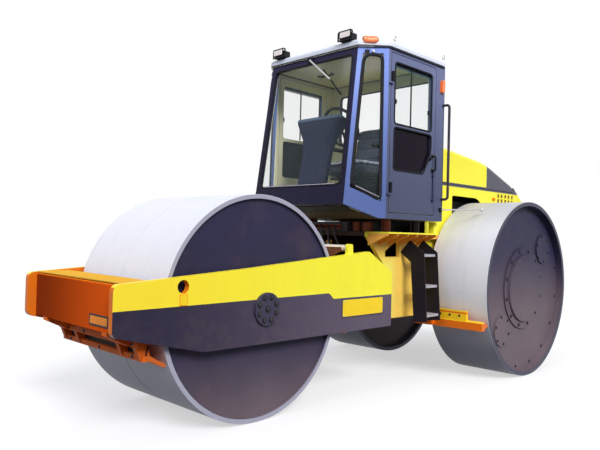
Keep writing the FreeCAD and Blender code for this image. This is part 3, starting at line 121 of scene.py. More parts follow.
class RollerSizes(bpy.types.PropertyGroup):
    """Sizes of the roller's small pieces."""
    flange_bolt: length("Flange bolt", "Radius of the bolts on the front hub's flange", 0.017)
    disc_bolt: length("Disc bolt", "Radius of the bolts on the wheels' discs", 0.011)
    screw: length("Screw", "Radius of the screws on blank plates", 0.006)
    seal: length("Seal", "Width of the rubber round a window", 0.018)
    plate: length("Plate", "Thickness of a blank plate", 0.003)
    rim_bolts: IntProperty(name="Rim bolts", description="Bolts near a wheel's rim", min=4,
                           max=48, default=16)
    cover_bolts: IntProperty(name="Cover bolts", description="Bolts round a wheel's cover",
                             min=4, max=24, default=12)


class RollerLight(bpy.types.PropertyGroup):
    """Strengths of the studio's lights."""
    sky: FloatProperty(name="Sky", description="Soft light, brighter overhead", min=0, max=2,
                       default=0.44)
    sun: FloatProperty(name="Sun", description="Broad light from the left of the machine",
                       min=0, max=10, default=2.9)


def sizes():
    return bpy.context.scene.roller_sizes


# Shapes: each is (points, faces), with its faces turned outward


def volume(points, faces):
    """Signed volume under faces with equal numbers of corners: p0 . (p1 x p2) over the triangles
    that fan out from each face's first corner."""
    p = points[np.asarray(faces)]
    return sum(np.einsum("ij,ij->", p[:, 0], np.cross(p[:, k], p[:, k + 1]))
               for k in range(1, p.shape[1] - 1))


def closed(rings, looped=False):
    """A skin over rings of points: quads join each ring to the next. A looped skin joins the last
    ring to the first, and the other kind ends in two flat faces. The sign of the volume inside
    tells whether the faces have to be turned."""
    rows, around, _ = rings.shape
    spans = rows if looped else rows - 1
    low = (np.arange(spans) * around)[:, None]
    high = (np.arange(1, spans + 1) % rows * around)[:, None]
    here = np.arange(around)[None]
    there = (here + 1) % around
    quads = np.stack([low + here, low + there, high + there, high + here], -1).reshape(-1, 4)
    points, faces = rings.reshape(-1, 3), quads.tolist()
    inside = volume(points, quads)
    if not looped:
        for end in (np.arange(around)[::-1], np.arange((rows - 1) * around, rows * around)):
            inside += volume(points, [end])
            faces.append(end.tolist())
    return points, faces if inside > 0 else [face[::-1] for face in faces]


def turned(profile, sides=24, turn=0.0):
    """Turned about +Z: each (radius, height) row becomes the ring (r cos a, r sin a, height)."""
    rows = np.asarray(profile, float)
    a = turn + np.arange(sides) * 2 * np.pi / sides
    rings = np.empty((len(rows), sides, 3))
    rings[..., 0] = rows[:, :1] * np.cos(a)
    rings[..., 1] = rows[:, :1] * np.sin(a)
    rings[..., 2] = rows[:, 1:]
    return closed(rings)


def slab(outline, low, high, bevel=0.0008):
    """A flat outline given thickness along +Z, its edges bevelled: four rings of the outline, the
    outer two drawn in by the bevel along the mean of the neighbouring edges' normals."""
    flat = np.asarray(outline, float)
    edge = np.roll(flat, -1, 0) - flat
    normal = np.stack([edge[:, 1], -edge[:, 0]], 1)
    normal /= np.linalg.norm(normal, axis=1, keepdims=True) + 1e-12
    mean = normal + np.roll(normal, 1, 0)
    mean /= np.maximum((mean ** 2).sum(1, keepdims=True) / 2, 0.3)
    area = np.sum(flat[:, 0] * np.roll(flat[:, 1], -1) - flat[:, 1] * np.roll(flat[:, 0], -1))
    drawn = flat - mean * bevel * np.sign(area)
    rings = [np.column_stack([ring, np.full(len(flat), z)]) for ring, z in
             ((drawn, low), (flat, low + bevel), (flat, high - bevel), (drawn, high))]
    return closed(np.array(rings))


def round_box(width, height, radius, steps=5):
    """Outline of a rectangle about the origin with rounded corners: four quarter circles."""
    a = np.linspace(0, np.pi / 2, steps)[None] + np.arange(4)[:, None] * np.pi / 2
    middle = np.array([[1, 1], [-1, 1], [-1, -1], [1, -1]]) * [width / 2 - radius,
                                                              height / 2 - radius]
    return (middle[:, None] + radius * np.stack([np.cos(a), np.sin(a)], -1)).reshape(-1, 2)


def rounded(corners, radius, steps=5, looped=False):
    """A path through corners, each turned into the curve (1-t)^2 a + 2t(1-t) p + t^2 b between
    the points a and b that lie the radius before and after it."""
    p = np.asarray(corners, float)
    before, after = np.roll(p, 1, 0) - p, np.roll(p, -1, 0) - p
    radius = np.broadcast_to(np.asarray(radius, float).reshape(-1, 1), (len(p), 1))
    a = p + before / np.linalg.norm(before, axis=1, keepdims=True) * radius
    b = p + after / np.linalg.norm(after, axis=1, keepdims=True) * radius
    t = np.linspace(0, 1, steps)[None, :, None]
    curve = (1 - t) ** 2 * a[:, None] + 2 * t * (1 - t) * p[:, None] + t ** 2 * b[:, None]
    if looped:
        return curve.reshape(-1, p.shape[1])
    return np.vstack([p[:1], curve[1:-1].reshape(-1, p.shape[1]), p[-1:]])


def swept(path, section, up=UP, looped=False):
    """A section of (side, over) pairs carried along a path. At each point the side direction is
    up x forward and the over direction forward x side."""
    path, section = np.asarray(path, float), np.asarray(section, float)
    forward = (np.roll(path, -1, 0) - np.roll(path, 1, 0) if looped
               else np.gradient(path, axis=0))
    forward /= np.linalg.norm(forward, axis=1, keepdims=True)
    side = np.cross(np.broadcast_to(np.asarray(up, float), forward.shape), forward)
    side /= np.linalg.norm(side, axis=1, keepdims=True)
    over = np.cross(forward, side)
    return closed(path[:, None] + section[None, :, :1] * side[:, None]
                  + section[None, :, 1:] * over[:, None], looped)


def tube(path, radius, up=UP, sides=14, looped=False):
    """A round section carried along a path."""
    a = np.arange(sides) * 2 * np.pi / sides
    return swept(path, radius * np.stack([np.cos(a), np.sin(a)], 1), up, looped)


def ball(radius, rows=10, sides=20):
    """A sphere: the profile (r sin b, r cos b) turned about +Z, with small flats at its poles."""
    b = np.linspace(0.08, np.pi - 0.08, rows)
    return turned(np.stack([np.sin(b), -np.cos(b)], 1) * radius, sides)


def placed(shape, origin=ORIGIN, axis=UP, over=UP):
    """The shape with its +Z laid along the axis and its +Y near the over direction."""
    z = np.asarray(axis, float) / np.linalg.norm(axis)
    x = np.cross(np.asarray(over, float), z)
    if np.linalg.norm(x) < 1e-6:
        x = np.cross([0, 1, 0], z) if abs(z[1]) < 0.9 else np.array([1.0, 0, 0])
    x /= np.linalg.norm(x)
    turn = np.stack([x, np.cross(z, x), z])
    return shape[0] @ turn + np.asarray(origin, float), shape[1]


def block(width, height, radius, origin, axis, low, high, bevel=0.0008, over=UP):
    """A rounded rectangle as a slab between two levels along an axis."""
    return placed(slab(round_box(width, height, radius), low, high, bevel), origin, axis, over)


def repeated(shape, places):
    """Copies of a shape moved by each row of places."""
    places = np.asarray(places, float).reshape(-1, 3)
    points = (places[:, None] + shape[0][None]).reshape(-1, 3)
    step = len(shape[0])
    faces = [[i + k * step for i in face] for k in range(len(places)) for face in shape[1]]
    return points, faces


def in_row(shape, x, ys, z):
    """Copies of a shape side by side."""
    return repeated(shape, [(x, y, z) for y in ys])


def mirrored(shape):
    """The shape's twin on the other side of the machine, its faces turned round again."""
    return shape[0] * [1, -1, 1], [face[::-1] for face in shape[1]]


TWINS = (("left", lambda shape: shape), ("right", mirrored))


def around(centre, radius, count, y, start=0.0):
    """Places on a circle of the x-z plane."""
    a = np.radians(start) + np.arange(count) * 2 * np.pi / count
    return np.stack([centre[0] + radius * np.cos(a), np.full(count, y),
                     centre[1] + radius * np.sin(a)], 1)


def bolt(radius, height=None):
    """A hexagon head on a round washer, its top chamfered."""
    tall = height or radius * 0.75
    washer = turned([(radius * 1.22, 0), (radius * 1.3, tall * 0.08), (radius * 1.3, tall * 0.16),
                     (radius * 1.2, tall * 0.22)], 18)
    head = turned([(radius, tall * 0.1), (radius, tall * 0.85), (radius * 0.82, tall)], 6)
    return joined(washer, head)


def joined(*shapes):
    """Several shapes as one."""
    points, faces, start = [], [], 0
    for p, f in shapes:
        points.append(p)
        faces += [[i + start for i in face] for face in f] if start else f
        start += len(p)
    return np.vstack(points), faces


def make(name, paint, *shapes, body="rear_frame", slot=None, crease=35):
    """One object of the shapes, at the origin, riding on a body, smooth up to the crease angle.
    Its slot argument is not used."""
    points, faces = joined(*shapes)
    mesh = bpy.data.meshes.new(name)
    mesh.from_pydata(points.tolist(), [], faces)
    mesh.polygons.foreach_set("use_smooth", np.ones(len(mesh.polygons), bool))
    mesh.set_sharp_from_angle(angle=np.radians(crease))
    mesh.update()
    piece = bpy.data.objects.new(name, mesh)
    bpy.context.scene.collection.objects.link(piece)
    mesh.materials.append(finish(paint))
    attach(piece, body)
    return piece


def both(name, paint, *shapes, **options):
    """One object of the shapes and their twins on the other side of the machine."""
    return make(name, paint, *shapes, *map(mirrored, shapes), **options)


# Finishes


class Link:
    """An output of a material's nodes. Arithmetic on it adds the Math nodes that work it out."""

    def __init__(self, sheet, socket):
        self.sheet, self.socket = sheet, socket

    def maths(self, operation, *values):
        return self.sheet.add("ShaderNodeMath", {"operation": operation}, dict(enumerate(values)))

    def __add__(self, other):
        return self.maths("ADD", self, other)

    __radd__ = __add__

    def __sub__(self, other):
        return self.maths("SUBTRACT", self, other)

    def __rsub__(self, other):
        return self.maths("SUBTRACT", other, self)

    def __mul__(self, other):
        return self.maths("MULTIPLY", self, other)

    __rmul__ = __mul__

    def __abs__(self):
        return self.maths("ABSOLUTE", self)

    def lesser(self, other):
        return self.maths("MINIMUM", self, other)

    def greater(self, other):
        return self.maths("MAXIMUM", self, other)

    def root(self):
        return self.maths("SQRT", self)

    def over(self, edge, soft=0.001):
        """0 below the edge and 1 above it, turning smoothly across the soft width."""
        return self.sheet.add("ShaderNodeMapRange", {"interpolation_type": "SMOOTHSTEP"},
                              {0: self, 1: edge - soft / 2, 2: edge + soft / 2, 3: 0, 4: 1})

    def under(self, edge, soft=0.001):
        return 1 - self.over(edge, soft)


class Sheet:
    """A material's nodes, with the object's own x, y and z at hand."""

    def __init__(self, name, owners=None):
        self.material = (bpy.data.materials if owners is None else owners).new(name)
        self.material.use_nodes = True
        self.tree = self.material.node_tree
        self.tree.nodes.clear()
        self.place = self.add("ShaderNodeTexCoord", {}, {}, 3)
        split = self.add("ShaderNodeSeparateXYZ", {}, {0: self.place})
        self.x, self.y, self.z = (Link(self, split.socket.node.outputs[i]) for i in range(3))

    @property
    def side(self):
        """Distance from the machine's middle plane."""
        return abs(self.y)

    def add(self, kind, settings, sockets, out=0):
        """One node: its settings first, then a value or a link into each named socket."""
        node = self.tree.nodes.new(kind)
        for key, value in settings.items():
            setattr(node, key, value)
        for key, value in sockets.items():
            socket = node.inputs[key]
            if isinstance(value, Link):
                self.tree.links.new(value.socket, socket)
            elif isinstance(value, tuple) and socket.type == "RGBA" and len(value) == 3:
                socket.default_value = (*value, 1)
            else:
                socket.default_value = value
        return Link(self, node.outputs[out]) if len(node.outputs) else None

    def stretched(self, x, y, z):
        """The place with its three directions scaled."""
        return self.add("ShaderNodeVectorMath", {"operation": "MULTIPLY"},
                        {0: self.place, 1: (x, y, z)})

    def noise(self, scale, detail=3.0, where=None, roughness=0.5):
        return self.add("ShaderNodeTexNoise", {}, {
            "Vector": where or self.place, "Scale": scale, "Detail": detail,
            "Roughness": roughness})

    def mix(self, share, a, b):
        return self.add("ShaderNodeMix", {"data_type": "RGBA"}, {0: share, 6: a, 7: b}, 2)

    def mottled(self, share, shade, low, high):
        """The shade between two strengths of it."""
        return self.mix(share, scaled(shade, low), scaled(shade, high))

    def bump(self, height, distance):
        return self.add("ShaderNodeBump", {}, {"Strength": 1.0, "Distance": distance,
                                               "Height": height})

    def shaded(self, **values):
        """The finished material, its shader's sockets named with underscores for spaces."""
        sockets = {key.replace("_", " "): value for key, value in values.items()}
        return self.done(self.add("ShaderNodeBsdfPrincipled", {}, sockets))

    def done(self, surface):
        self.add("ShaderNodeOutputMaterial", {}, {"Surface": surface})
        return self.material

    def from_axle(self, centre):
        """Distance from an axle that runs along y."""
        dx, dz = self.x - centre[0], self.z - centre[1]
        return (dx * dx + dz * dz).root()


def scaled(shade, share):
    return tuple(min(1, c * share) for c in shade)


def shade_of(shade):
    """A paint's colour by its name or from a display colour in whole numbers. A link and a linear
    colour pass through."""
    if isinstance(shade, str):
        return tuple(getattr(bpy.context.scene.roller_paints, shade))
    if isinstance(shade, Link) or isinstance(shade[0], float):
        return shade
    return display(*shade)


def enamel(name, shade, zones=None, rough=0.30, dust=0.35, coat=0.05, shine=0.14):
    """Sprayed enamel: a slow change of tone, a fine orange-peel bump, and road dust that gathers
    near the ground. The zones are (mask, colour) pairs painted over the base colour."""
    sheet = Sheet(name)
    tone = sheet.noise(1.7, 2.0)
    paint = sheet.mottled(tone, shade, 0.93, 1.05)
    for mask, over in (zones(sheet, shade) if zones else ()):
        paint = sheet.mix(mask, paint, shade_of(over))
    patch = sheet.noise(9.0, 5.0, roughness=0.65)
    low = sheet.z.under(0.75, 0.9) * patch.over(0.52, 0.25) * dust
    streak = sheet.noise(3.0, 4.0, sheet.stretched(5, 5, 0.6)).over(0.62, 0.2) * (0.25 * dust)
    dirt = low.greater(streak)
    paint = sheet.mix(dirt, paint, display(120, 104, 84))
    peel = sheet.noise(260.0, 1.0)
    gloss = 0.24 * dirt + 0.10 * (tone - 0.5) + rough
    return sheet.shaded(Base_Color=paint, Roughness=gloss, Coat_Weight=coat, Coat_Roughness=0.12,
                        Specular_IOR_Level=shine, Normal=sheet.bump(peel, 0.0002))


def yoke(sheet, shade):
    """Yellow above a sloping line with a short step behind the hub, charcoal below it, an orange
    wall in the lashing hole, painted shade that turns the yellow warmer toward the front, and
    orange painted shade on the plates' inner faces and front ends."""
    slope = 0.877 - 0.0105 * (sheet.x - 0.976).greater(0)
    line = slope - 0.046 * sheet.x.under(0.940, 0.072)
    band = sheet.z.under(line, 0.003)
    bore = sheet.from_axle((2.308, 0.982)).under(0.0435) * sheet.side.under(YOKE_FACE - 0.0006)
    inner = sheet.side.under(YOKE_FACE - 0.0442)
    end = sheet.x.over(2.7705, 0.001) * sheet.side.under(YOKE_FACE - 0.002)
    dark = sheet.mix(sheet.x.over(1.5, 2.6), display(96, 86, 106), display(44, 40, 62))
    # painted shade: the yellow turns warmer toward the front
    painted_warm_shade = sheet.x.over(1.9, 1.5) * (1 - band)
    # (222, 112, 24) is orange painted shade on the plates' inner faces and front ends
    return ((painted_warm_shade, (252, 226, 58)), (band, dark), (bore, "orange"),
            (inner.greater(end), (222, 112, 24)))


def nose(sheet, shade):
    """The nose's plate: pale on its top face, with orange painted shade below it and a deep orange
    painted shade on the front face, darkest toward the right side.
    """
    # painted shade: orange below the top, deep orange on the front face, darkest toward the right
    front = sheet.x.over(NOSE_FACE - 0.0015, 0.002) * sheet.z.under(1.013, 0.003)
    low = sheet.z.under(1.010, 0.003)
    deep = sheet.mix(sheet.y.over(0.0, 1.2), display(136, 50, 16), display(230, 92, 24))
    return (low, (226, 120, 26)), (front, deep)


def hood(sheet, shade):
    """Yellow, charcoal behind a level cut and along its lower edge."""
    behind = sheet.x.under(-1.690, 0.003)
    return ((behind.greater(sheet.z.under(STRIPE[1], 0.003)), (84, 84, 98)),)


def bay(sheet, shade):
    """Yellow outside, a charcoal stripe along the top and black painted shade inside the opening.
    """
    # painted shade: the inside of the bay's opening is painted black
    inside = sheet.side.under(BAY_FACE - 0.006) * sheet.x.over(-2.53, 0.002)
    return (sheet.z.over(STRIPE[0], 0.003), (84, 84, 98)), (inside, (22, 22, 26))


def chassis(sheet, shade):
    """Yellow with painted light and shade: a paler yellow low at the front, orange painted shade
    over the top and rear of that part and under the shelf, and dark brown painted shade between
    the plates.
    """
    # painted shade: orange under the shelf
    under = sheet.z.under(1.3505) * sheet.z.over(1.20, 0.02) * sheet.side.over(0.441)
    # painted light: paler yellow low at the front; painted shade: orange over its top and rear
    low = sheet.x.over(-0.62, 0.002) * sheet.z.under(1.315, 0.002)
    painted_warm_shade = low * sheet.z.over(1.12, 0.16).greater(sheet.x.under(-0.10, 0.16))
    return ((low, (255, 240, 116)), (painted_warm_shade * 0.45, (254, 166, 58)), (under, (255, 184, 84)),
            # dark brown painted shade on the plates' inner faces
            (sheet.side.under(0.4012), (60, 34, 20)))


def paler(sheet, shade):
    """Painted light: the cab's paint lightens toward the roof."""
    return sheet.z.over(2.3, 1.4), scaled(shade, 2.3)


def corner_edge(rise):
    """x and y of the corner panel's leaning front edge at a share of the screen's height."""
    narrower = SCREEN_HALF[0] - SCREEN_HALF[1]
    return SCREEN_FOOT[0] - SCREEN_LEAN * rise, SCREEN_HALF[0] - narrower * rise


def cab(sheet, shade):
    """Blue-grey outside and a pale lining inside: a point is inside where it lies behind the
    side walls' outer faces, the rear wall's, the leaning screen's and the twisted corners'."""
    x, y, z = sheet.x, sheet.side, sheet.z
    screen = (x + (z - SCREEN_FOOT[1]) * (SCREEN_LEAN / SCREEN_RISE)).under(SCREEN_FOOT[0] - WALL)
    front_x, front_y = corner_edge((z - SCREEN_FOOT[1]) * (1 / SCREEN_RISE))
    corner = (x - POST) * (DOOR_FACE - front_y) - (DOOR_FACE - y) * (front_x - POST)
    inner = (y.under(DOOR_FACE - WALL) * x.over(CAB_REAR + WALL) * screen
             * corner.under(-0.0110) * z.over(CAB_FLOOR + 0.0005))
    # painted light toward the roof, then the lining inside
    return paler(sheet, shade), (inner, "lining")


def roof(sheet, shade):
    """White cap, dark gutter below it and lining underneath."""
    below = sheet.z.under(2.9008) * sheet.side.under(0.62) * sheet.x.over(-0.42)
    return (sheet.z.under(2.913, 0.002), (52, 54, 66)), (below, "lining")


def door(sheet, shade):
    """As the cab, with black hinge knuckles outside the leaf."""
    return (paler(sheet, shade), (sheet.side.over(DOOR_FACE + 0.0006), "black"),
            (sheet.side.under(DOOR_FACE - WALL), "lining"))


def mat(sheet, shade):
    """Black ribbed mat on top of the floor, dirty brown underneath."""
    return ((sheet.z.over(CAB_FLOOR - 0.0010), (34, 34, 36)),)


def console_top(sheet, shade):
    """A paler moulding round the head of the console."""
    return ((sheet.z.over(2.356, 0.006), (88, 104, 128)),)


def bracket_painted_light(sheet, shade):
    """Painted light: brighter paint along the upper edges of the wheel scrapers' bars."""
    bar = sheet.z.over(0.572, 0.004) * sheet.z.under(0.640)
    return ((bar.greater(sheet.z.over(0.655, 0.004)), (252, 206, 40)),)


def scraper_tube(sheet, shade):
    """Pale tube and brown blade between the rear scraper's yellow lugs."""
    between = sheet.side.under(YOKE_FACE - 0.046, 0.001)
    pipe = sheet.from_axle((0.707, 1.223)).under(0.031, 0.002)
    return (between, (96, 58, 40)), (between * pipe, (226, 214, 196))


def rusty(sheet, shade):
    """Rust-brown front mounts, dark rear ones."""
    return ((sheet.x.over(-0.2), (150, 70, 42)),)


def tread_plates(sheet, shade):
    """Bare treads between the ladders' strips."""
    return ((abs(sheet.x + 0.319).under(0.102, 0.001), (176, 174, 184)),)


def rolled_steel(name, shade, centre, rim, face, lip, lip_shade, dusty, crown=0.0):
    """A drum: bare satin steel with fine rings left by turning and a few scuffs, darkened by
    painted shade low down and, where asked, across its top, and dark blue-grey paint on its end
    discs inside the rim, paler and browner low down from dust and painted light."""
    sheet = Sheet(name)
    rings = sheet.noise(1.0, 4.0, sheet.stretched(3, 420, 3), 0.7)
    wide = sheet.noise(1.0, 2.0, sheet.stretched(1.2, 14, 1.2))
    scuff = sheet.noise(14.0, 6.0, roughness=0.7)
    far, outer = sheet.from_axle(centre), sheet.side.over(face, 0.001)
    bare = sheet.mottled(rings, shade, 0.97, 1.02)
    for share, tint in ((wide.over(0.60, 0.3) * 0.07, (140, 146, 168)),
                        (scuff.over(0.66, 0.15) * 0.12, (128, 122, 122)),
                        # painted shade: darker blue-grey low down
                        (sheet.z.under(0.46, 0.5) * 0.70, (78, 84, 116)),
                        # painted shade across the top of the wheels
                        (sheet.z.over(1.50, 0.3) * crown, (120, 116, 130)),
                        (far.under(lip, 0.001) * outer, lip_shade)):
        bare = sheet.mix(share, bare, display(*tint))
    painted = far.under(rim, 0.004) * outer
    dark = painted.greater(far.under(rim, 0.004) * sheet.side.under(face - 0.1))
    tone = sheet.noise(2.2, 3.0)
    disc = sheet.mottled(tone, shade_of("disc"), 0.62, 1.3)
    rust = sheet.noise(3.1, 6.0, roughness=0.7).over(0.60, 0.25) * 0.24
    # dust and painted light: the discs turn paler and browner low down
    dust_and_painted_light = (dusty - sheet.z).over(0, 0.7) * (0.45 + 0.45 * tone)
    disc = sheet.mix(rust, disc, display(96, 72, 74))
    disc = sheet.mix(dust_and_painted_light, disc, display(124, 108, 114))
    height = rings * 0.5 * (1 - painted) + scuff * 0.4
    return sheet.shaded(Base_Color=sheet.mix(dark, bare, disc), Metallic=(1 - dark) * 0.06,
                        Roughness=0.36 + 0.10 * scuff + 0.06 * painted, Specular_IOR_Level=0.12,
                        Normal=sheet.bump(height, 0.0002))


def metal(name, shade, rough, metallic=1.0, grain=90.0, depth=0.0003):
    """Plain metal with a mottled tone and a fine grain."""
    sheet = Sheet(name)
    tone = sheet.noise(grain, 4.0, roughness=0.6)
    return sheet.shaded(Base_Color=sheet.mottled(tone, shade, 0.8, 1.15), Metallic=metallic,
                        Roughness=rough + 0.12 * tone, Normal=sheet.bump(tone, depth))


def moulded(name, shade, rough=0.5):
    """Moulded plastic or rubber with a leather-like grain."""
    sheet = Sheet(name)
    cells = sheet.add("ShaderNodeTexVoronoi", {"feature": "F1"},
                      {"Vector": sheet.place, "Scale": 420.0})
    tone = sheet.noise(6.0, 3.0)
    return sheet.shaded(Base_Color=sheet.mottled(tone, shade, 0.85, 1.2),
                        Roughness=rough + 0.1 * (tone - 0.5), Specular_IOR_Level=0.15,
                        Normal=sheet.bump(cells, 0.00025))


def pane(name, shade, band=None, dark=None, shine=0.5):
    """Safety glass: mostly see-through and more mirror-like at a low angle, with a trace of dust.
    It is tinted above the band's height and nearly black below the dark height."""
    sheet = Sheet(name)
    facing = sheet.add("ShaderNodeLayerWeight", {}, {"Blend": 0.30}, 1)
    haze = sheet.noise(5.0, 4.0).over(0.6, 0.4) * 0.012
    cover = 0.03 + 0.35 * facing * facing + haze
    skin = sheet.mottled(sheet.noise(2.0, 1.0), shade, 1.0, 1.1)
    if band:
        for zone, share, tint in ((sheet.z.over(band, 0.03), 0.80, (54, 60, 78)),
                                  (sheet.z.under(dark, 0.002), 0.90, (26, 20, 34))):
            cover = cover + share * zone
            skin = sheet.mix(zone, skin, display(*tint))
    return sheet.shaded(Base_Color=skin, Roughness=0.04, Alpha=cover.lesser(0.97),
                        Specular_IOR_Level=shine)


def lens(name, shade, glow):
    """A moulded lens: glossy, with fine upright flutes and a little light of its own."""
    sheet = Sheet(name)
    wave = sheet.add("ShaderNodeTexWave", {"wave_type": "BANDS", "bands_direction": "DIAGONAL"},
                     {"Vector": sheet.place, "Scale": 60.0, "Distortion": 0.0})
    skin = sheet.mottled(wave, shade, 0.8, 1.0)
    return sheet.shaded(Base_Color=skin, Roughness=0.12, Coat_Weight=1.0, Coat_Roughness=0.04,
                        Emission_Color=skin, Emission_Strength=glow,
                        Normal=sheet.bump(wave, 0.0006))


def woven(name, shade):
    """Seat cloth: two crossed sets of ridges, sin(x) and sin(y) of the place, with worn patches
    and a soft sheen."""
    sheet, scale = Sheet(name), 340.0
    ridges = sheet.x.maths("SINE", sheet.x * scale * 2 + sheet.z * scale)
    weave = ridges * sheet.y.maths("SINE", sheet.y * scale * 2) * 0.5 + 0.5
    fleck = sheet.noise(70.0, 4.0, roughness=0.7)
    worn = sheet.noise(7.0, 3.0)
    skin = sheet.mottled(weave, shade, 0.55, 1.25)
    skin = sheet.mix(fleck.over(0.58, 0.2) * 0.5, skin, scaled(shade, 2.6))
    skin = sheet.mix(worn * 0.3, skin, scaled(shade, 1.5))
    return sheet.shaded(Base_Color=skin, Roughness=0.85, Sheen_Weight=0.4,
                        Normal=sheet.bump(weave, 0.0007))


def thin_film(name, shade):
    """The thin cover on the cushion: pale and glossy along its creases."""
    sheet = Sheet(name)
    crease = sheet.noise(26.0, 5.0, roughness=0.6)
    return sheet.shaded(Base_Color=sheet.mottled(crease, shade, 0.62, 1.25), Roughness=0.22,
                        Alpha=0.55 + 0.4 * crease, Coat_Weight=0.6,
                        Normal=sheet.bump(crease, 0.006))


SATIN = {"rough": 0.34, "dust": 0.1, "coat": 0.0, "shine": 0.12}
LOOKS = {
    "yellow": (enamel, "yellow", {}),
    "orange": (enamel, "orange", {"rough": 0.36, "coat": 0.0}),
    # painted shade: the front scraper is an orange, shaded copy of the yellow
    "front_scraper": (enamel, (218, 100, 26), {"rough": 0.4, "coat": 0.0, "shine": 0.05}),
    "charcoal": (enamel, "charcoal", {"dust": 0.15, "coat": 0.0, "shine": 0.2}),
    "black": (enamel, "black", {"rough": 0.4, "dust": 0.05, "coat": 0.0, "shine": 0.2}),
    # painted shade: the brackets' orange is a shaded copy of the yellow, their upper edges painted
    # light
    "brackets": (enamel, (240, 118, 26), {"zones": bracket_painted_light, "dust": 0.1}),
    "rear_scraper": (enamel, "yellow", {"zones": scraper_tube, "dust": 0.1}),
    "mounts": (enamel, (40, 32, 38), {"zones": rusty, "dust": 0.1, "coat": 0.0}),
    # painted shade: the flange's dimmer yellow is a shaded copy of the yellow paint
    "nose_flange": (enamel, (232, 178, 68), {"dust": 0.05, "coat": 0.0, "shine": 0.0}),
    "steps": (enamel, (30, 26, 38), {"zones": tread_plates, "rough": 0.4, "dust": 0.0,
                                     "coat": 0.0, "shine": 0.25}),
    "yoke_paint": (enamel, "yellow", {"zones": yoke, "dust": 0.15, "coat": 0.0, "shine": 0.1}),
    # painted shade: the nose's dimmer yellow base is a shaded copy of the yellow paint
    "nose_paint": (enamel, (236, 182, 66), {"zones": nose, "dust": 0.05, "coat": 0.0,
                                            "shine": 0.0}),
    "hood_paint": (enamel, "yellow", {"zones": hood, "dust": 0.1}),
    "bay_paint": (enamel, "yellow", {"zones": bay, "dust": 0.1}),
    "chassis_paint": (enamel, "yellow", {"zones": chassis, "dust": 0.2}),
    "cab_paint": (enamel, "cab", {"zones": cab, **SATIN}),
    # painted shade: a darker copy of the cab's blue-grey on the front panel
    "screen_paint": (enamel, (26, 24, 50), {"zones": cab, **SATIN}),
    # painted light: a lighter copy of the cab's blue-grey on the corner panels
    "corner_paint": (enamel, (90, 108, 164), {"zones": cab, **SATIN}),
    "door_paint": (enamel, "cab", {"zones": door, **SATIN}),
    "roof_paint": (enamel, "roof", {"zones": roof, "dust": 0.05}),
    "floor_paint": (enamel, (74, 58, 50), {"zones": mat, "rough": 0.6}),
    "console": (enamel, (24, 26, 58), {"zones": console_top, "rough": 0.5, "dust": 0.0,
                                       "coat": 0.0}),
    "blank_yellow": (enamel, (250, 214, 40), {"dust": 0.1}),
    "blank_pale": (enamel, (236, 226, 180), {"dust": 0.1}),
    "drum_steel": (rolled_steel, "steel", {
        "centre": DRUM, "rim": 0.7695, "face": 0.500, "lip": 0.7982,
        "lip_shade": (166, 166, 186), "dusty": 0.32}),
    "wheel_steel": (rolled_steel, "steel", {
        "centre": WHEEL, "rim": 0.8115, "face": 0.960, "lip": 0.8482,
        "lip_shade": (74, 74, 92), "dusty": 0.90, "crown": 0.40}),
    "rust": (metal, (150, 76, 46), {"rough": 0.6, "metallic": 0.2, "grain": 30.0,
                                    "depth": 0.001}),
    "cast": (metal, (92, 92, 96), {"rough": 0.6, "metallic": 0.4, "grain": 30.0,
                                   "depth": 0.001}),
    "ground_rod": (metal, (205, 208, 214), {"rough": 0.14, "depth": 0.00005}),
    "zinc": (metal, (196, 196, 198), {"rough": 0.34}),
    "dark_bolt": (metal, (38, 36, 44), {"rough": 0.42, "metallic": 0.5}),
    # painted shade in the engine bay's air slots
    "slot": (moulded, (112, 58, 26), {}),
    "rubber": (moulded, (24, 25, 30), {"rough": 0.6}),
    "trim": (moulded, (30, 30, 34), {"rough": 0.45}),
    "grip": (moulded, (64, 56, 68), {"rough": 0.4}),
    "pale_seal": (moulded, (196, 190, 204), {}),
    "glass": (pane, (150, 168, 172), {}),
    "door_glass": (pane, (110, 156, 160), {"band": 2.765, "dark": 2.265, "shine": 0.04}),
    "amber": (lens, "amber", {"glow": 0.35}),
    "lamp_lens": (lens, (232, 222, 222), {"glow": 0.25}),
    "red_lens": (lens, (190, 20, 16), {"glow": 0.2}),
    "cloth": (woven, "cloth", {}),
    "film": (thin_film, "cover", {}),
}
FINISHES = {}


def finish(name):
    """A finish by name, made at its first use."""
    if name not in FINISHES:
        maker, shade, options = LOOKS[name]
        FINISHES[name] = maker(name, shade_of(shade), **options)
    return FINISHES[name]


NODE_FINISH = {
    "drum_steel": "front_drum_left front_drum_right",
    "wheel_steel": "rear_wheel_left rear_wheel_right",
    "charcoal": "front_axle tail_counterweight",
    "cast": "rear_axle engine_block",
    "yoke_paint": "yoke_side_plates",
    "nose_paint": "yoke_nose_beam",
    "yellow": "yoke_rear_beam steer_barrel_left steer_barrel_right",
    "rear_scraper": "drum_scraper_rear",
    "mounts": "cab_mounts",
    "front_scraper": "drum_scraper_front",
    "brackets": "wheel_scrapers",
    "chassis_paint": "rear_chassis",
    "hood_paint": "hood",
    "bay_paint": "engine_bay",
    "cab_paint": "cab_side_left cab_side_right cab_rear",
    "screen_paint": "cab_front",
    "corner_paint": "cab_corner_left cab_corner_right",
    "roof_paint": "cab_roof",
    "door_paint": "door_left door_right",
    "floor_paint": "cab_floor",
    "ground_rod": "pivot_pin steer_rod_left steer_rod_right",
    "glass": "cab_glass",
    "door_glass": "door_glass_left door_glass_right",
    "trim": "steering_wheel rear_grille",
    "console": "dash_console operator_seat",
    "black": "work_lamps",
    "grip": "grab_rails",
    "steps": "ladders",
    "amber": "marker_lamps",
}


class RollerStep:
    """What the roller's operators share."""
    bl_options = {"REGISTER", "UNDO"}


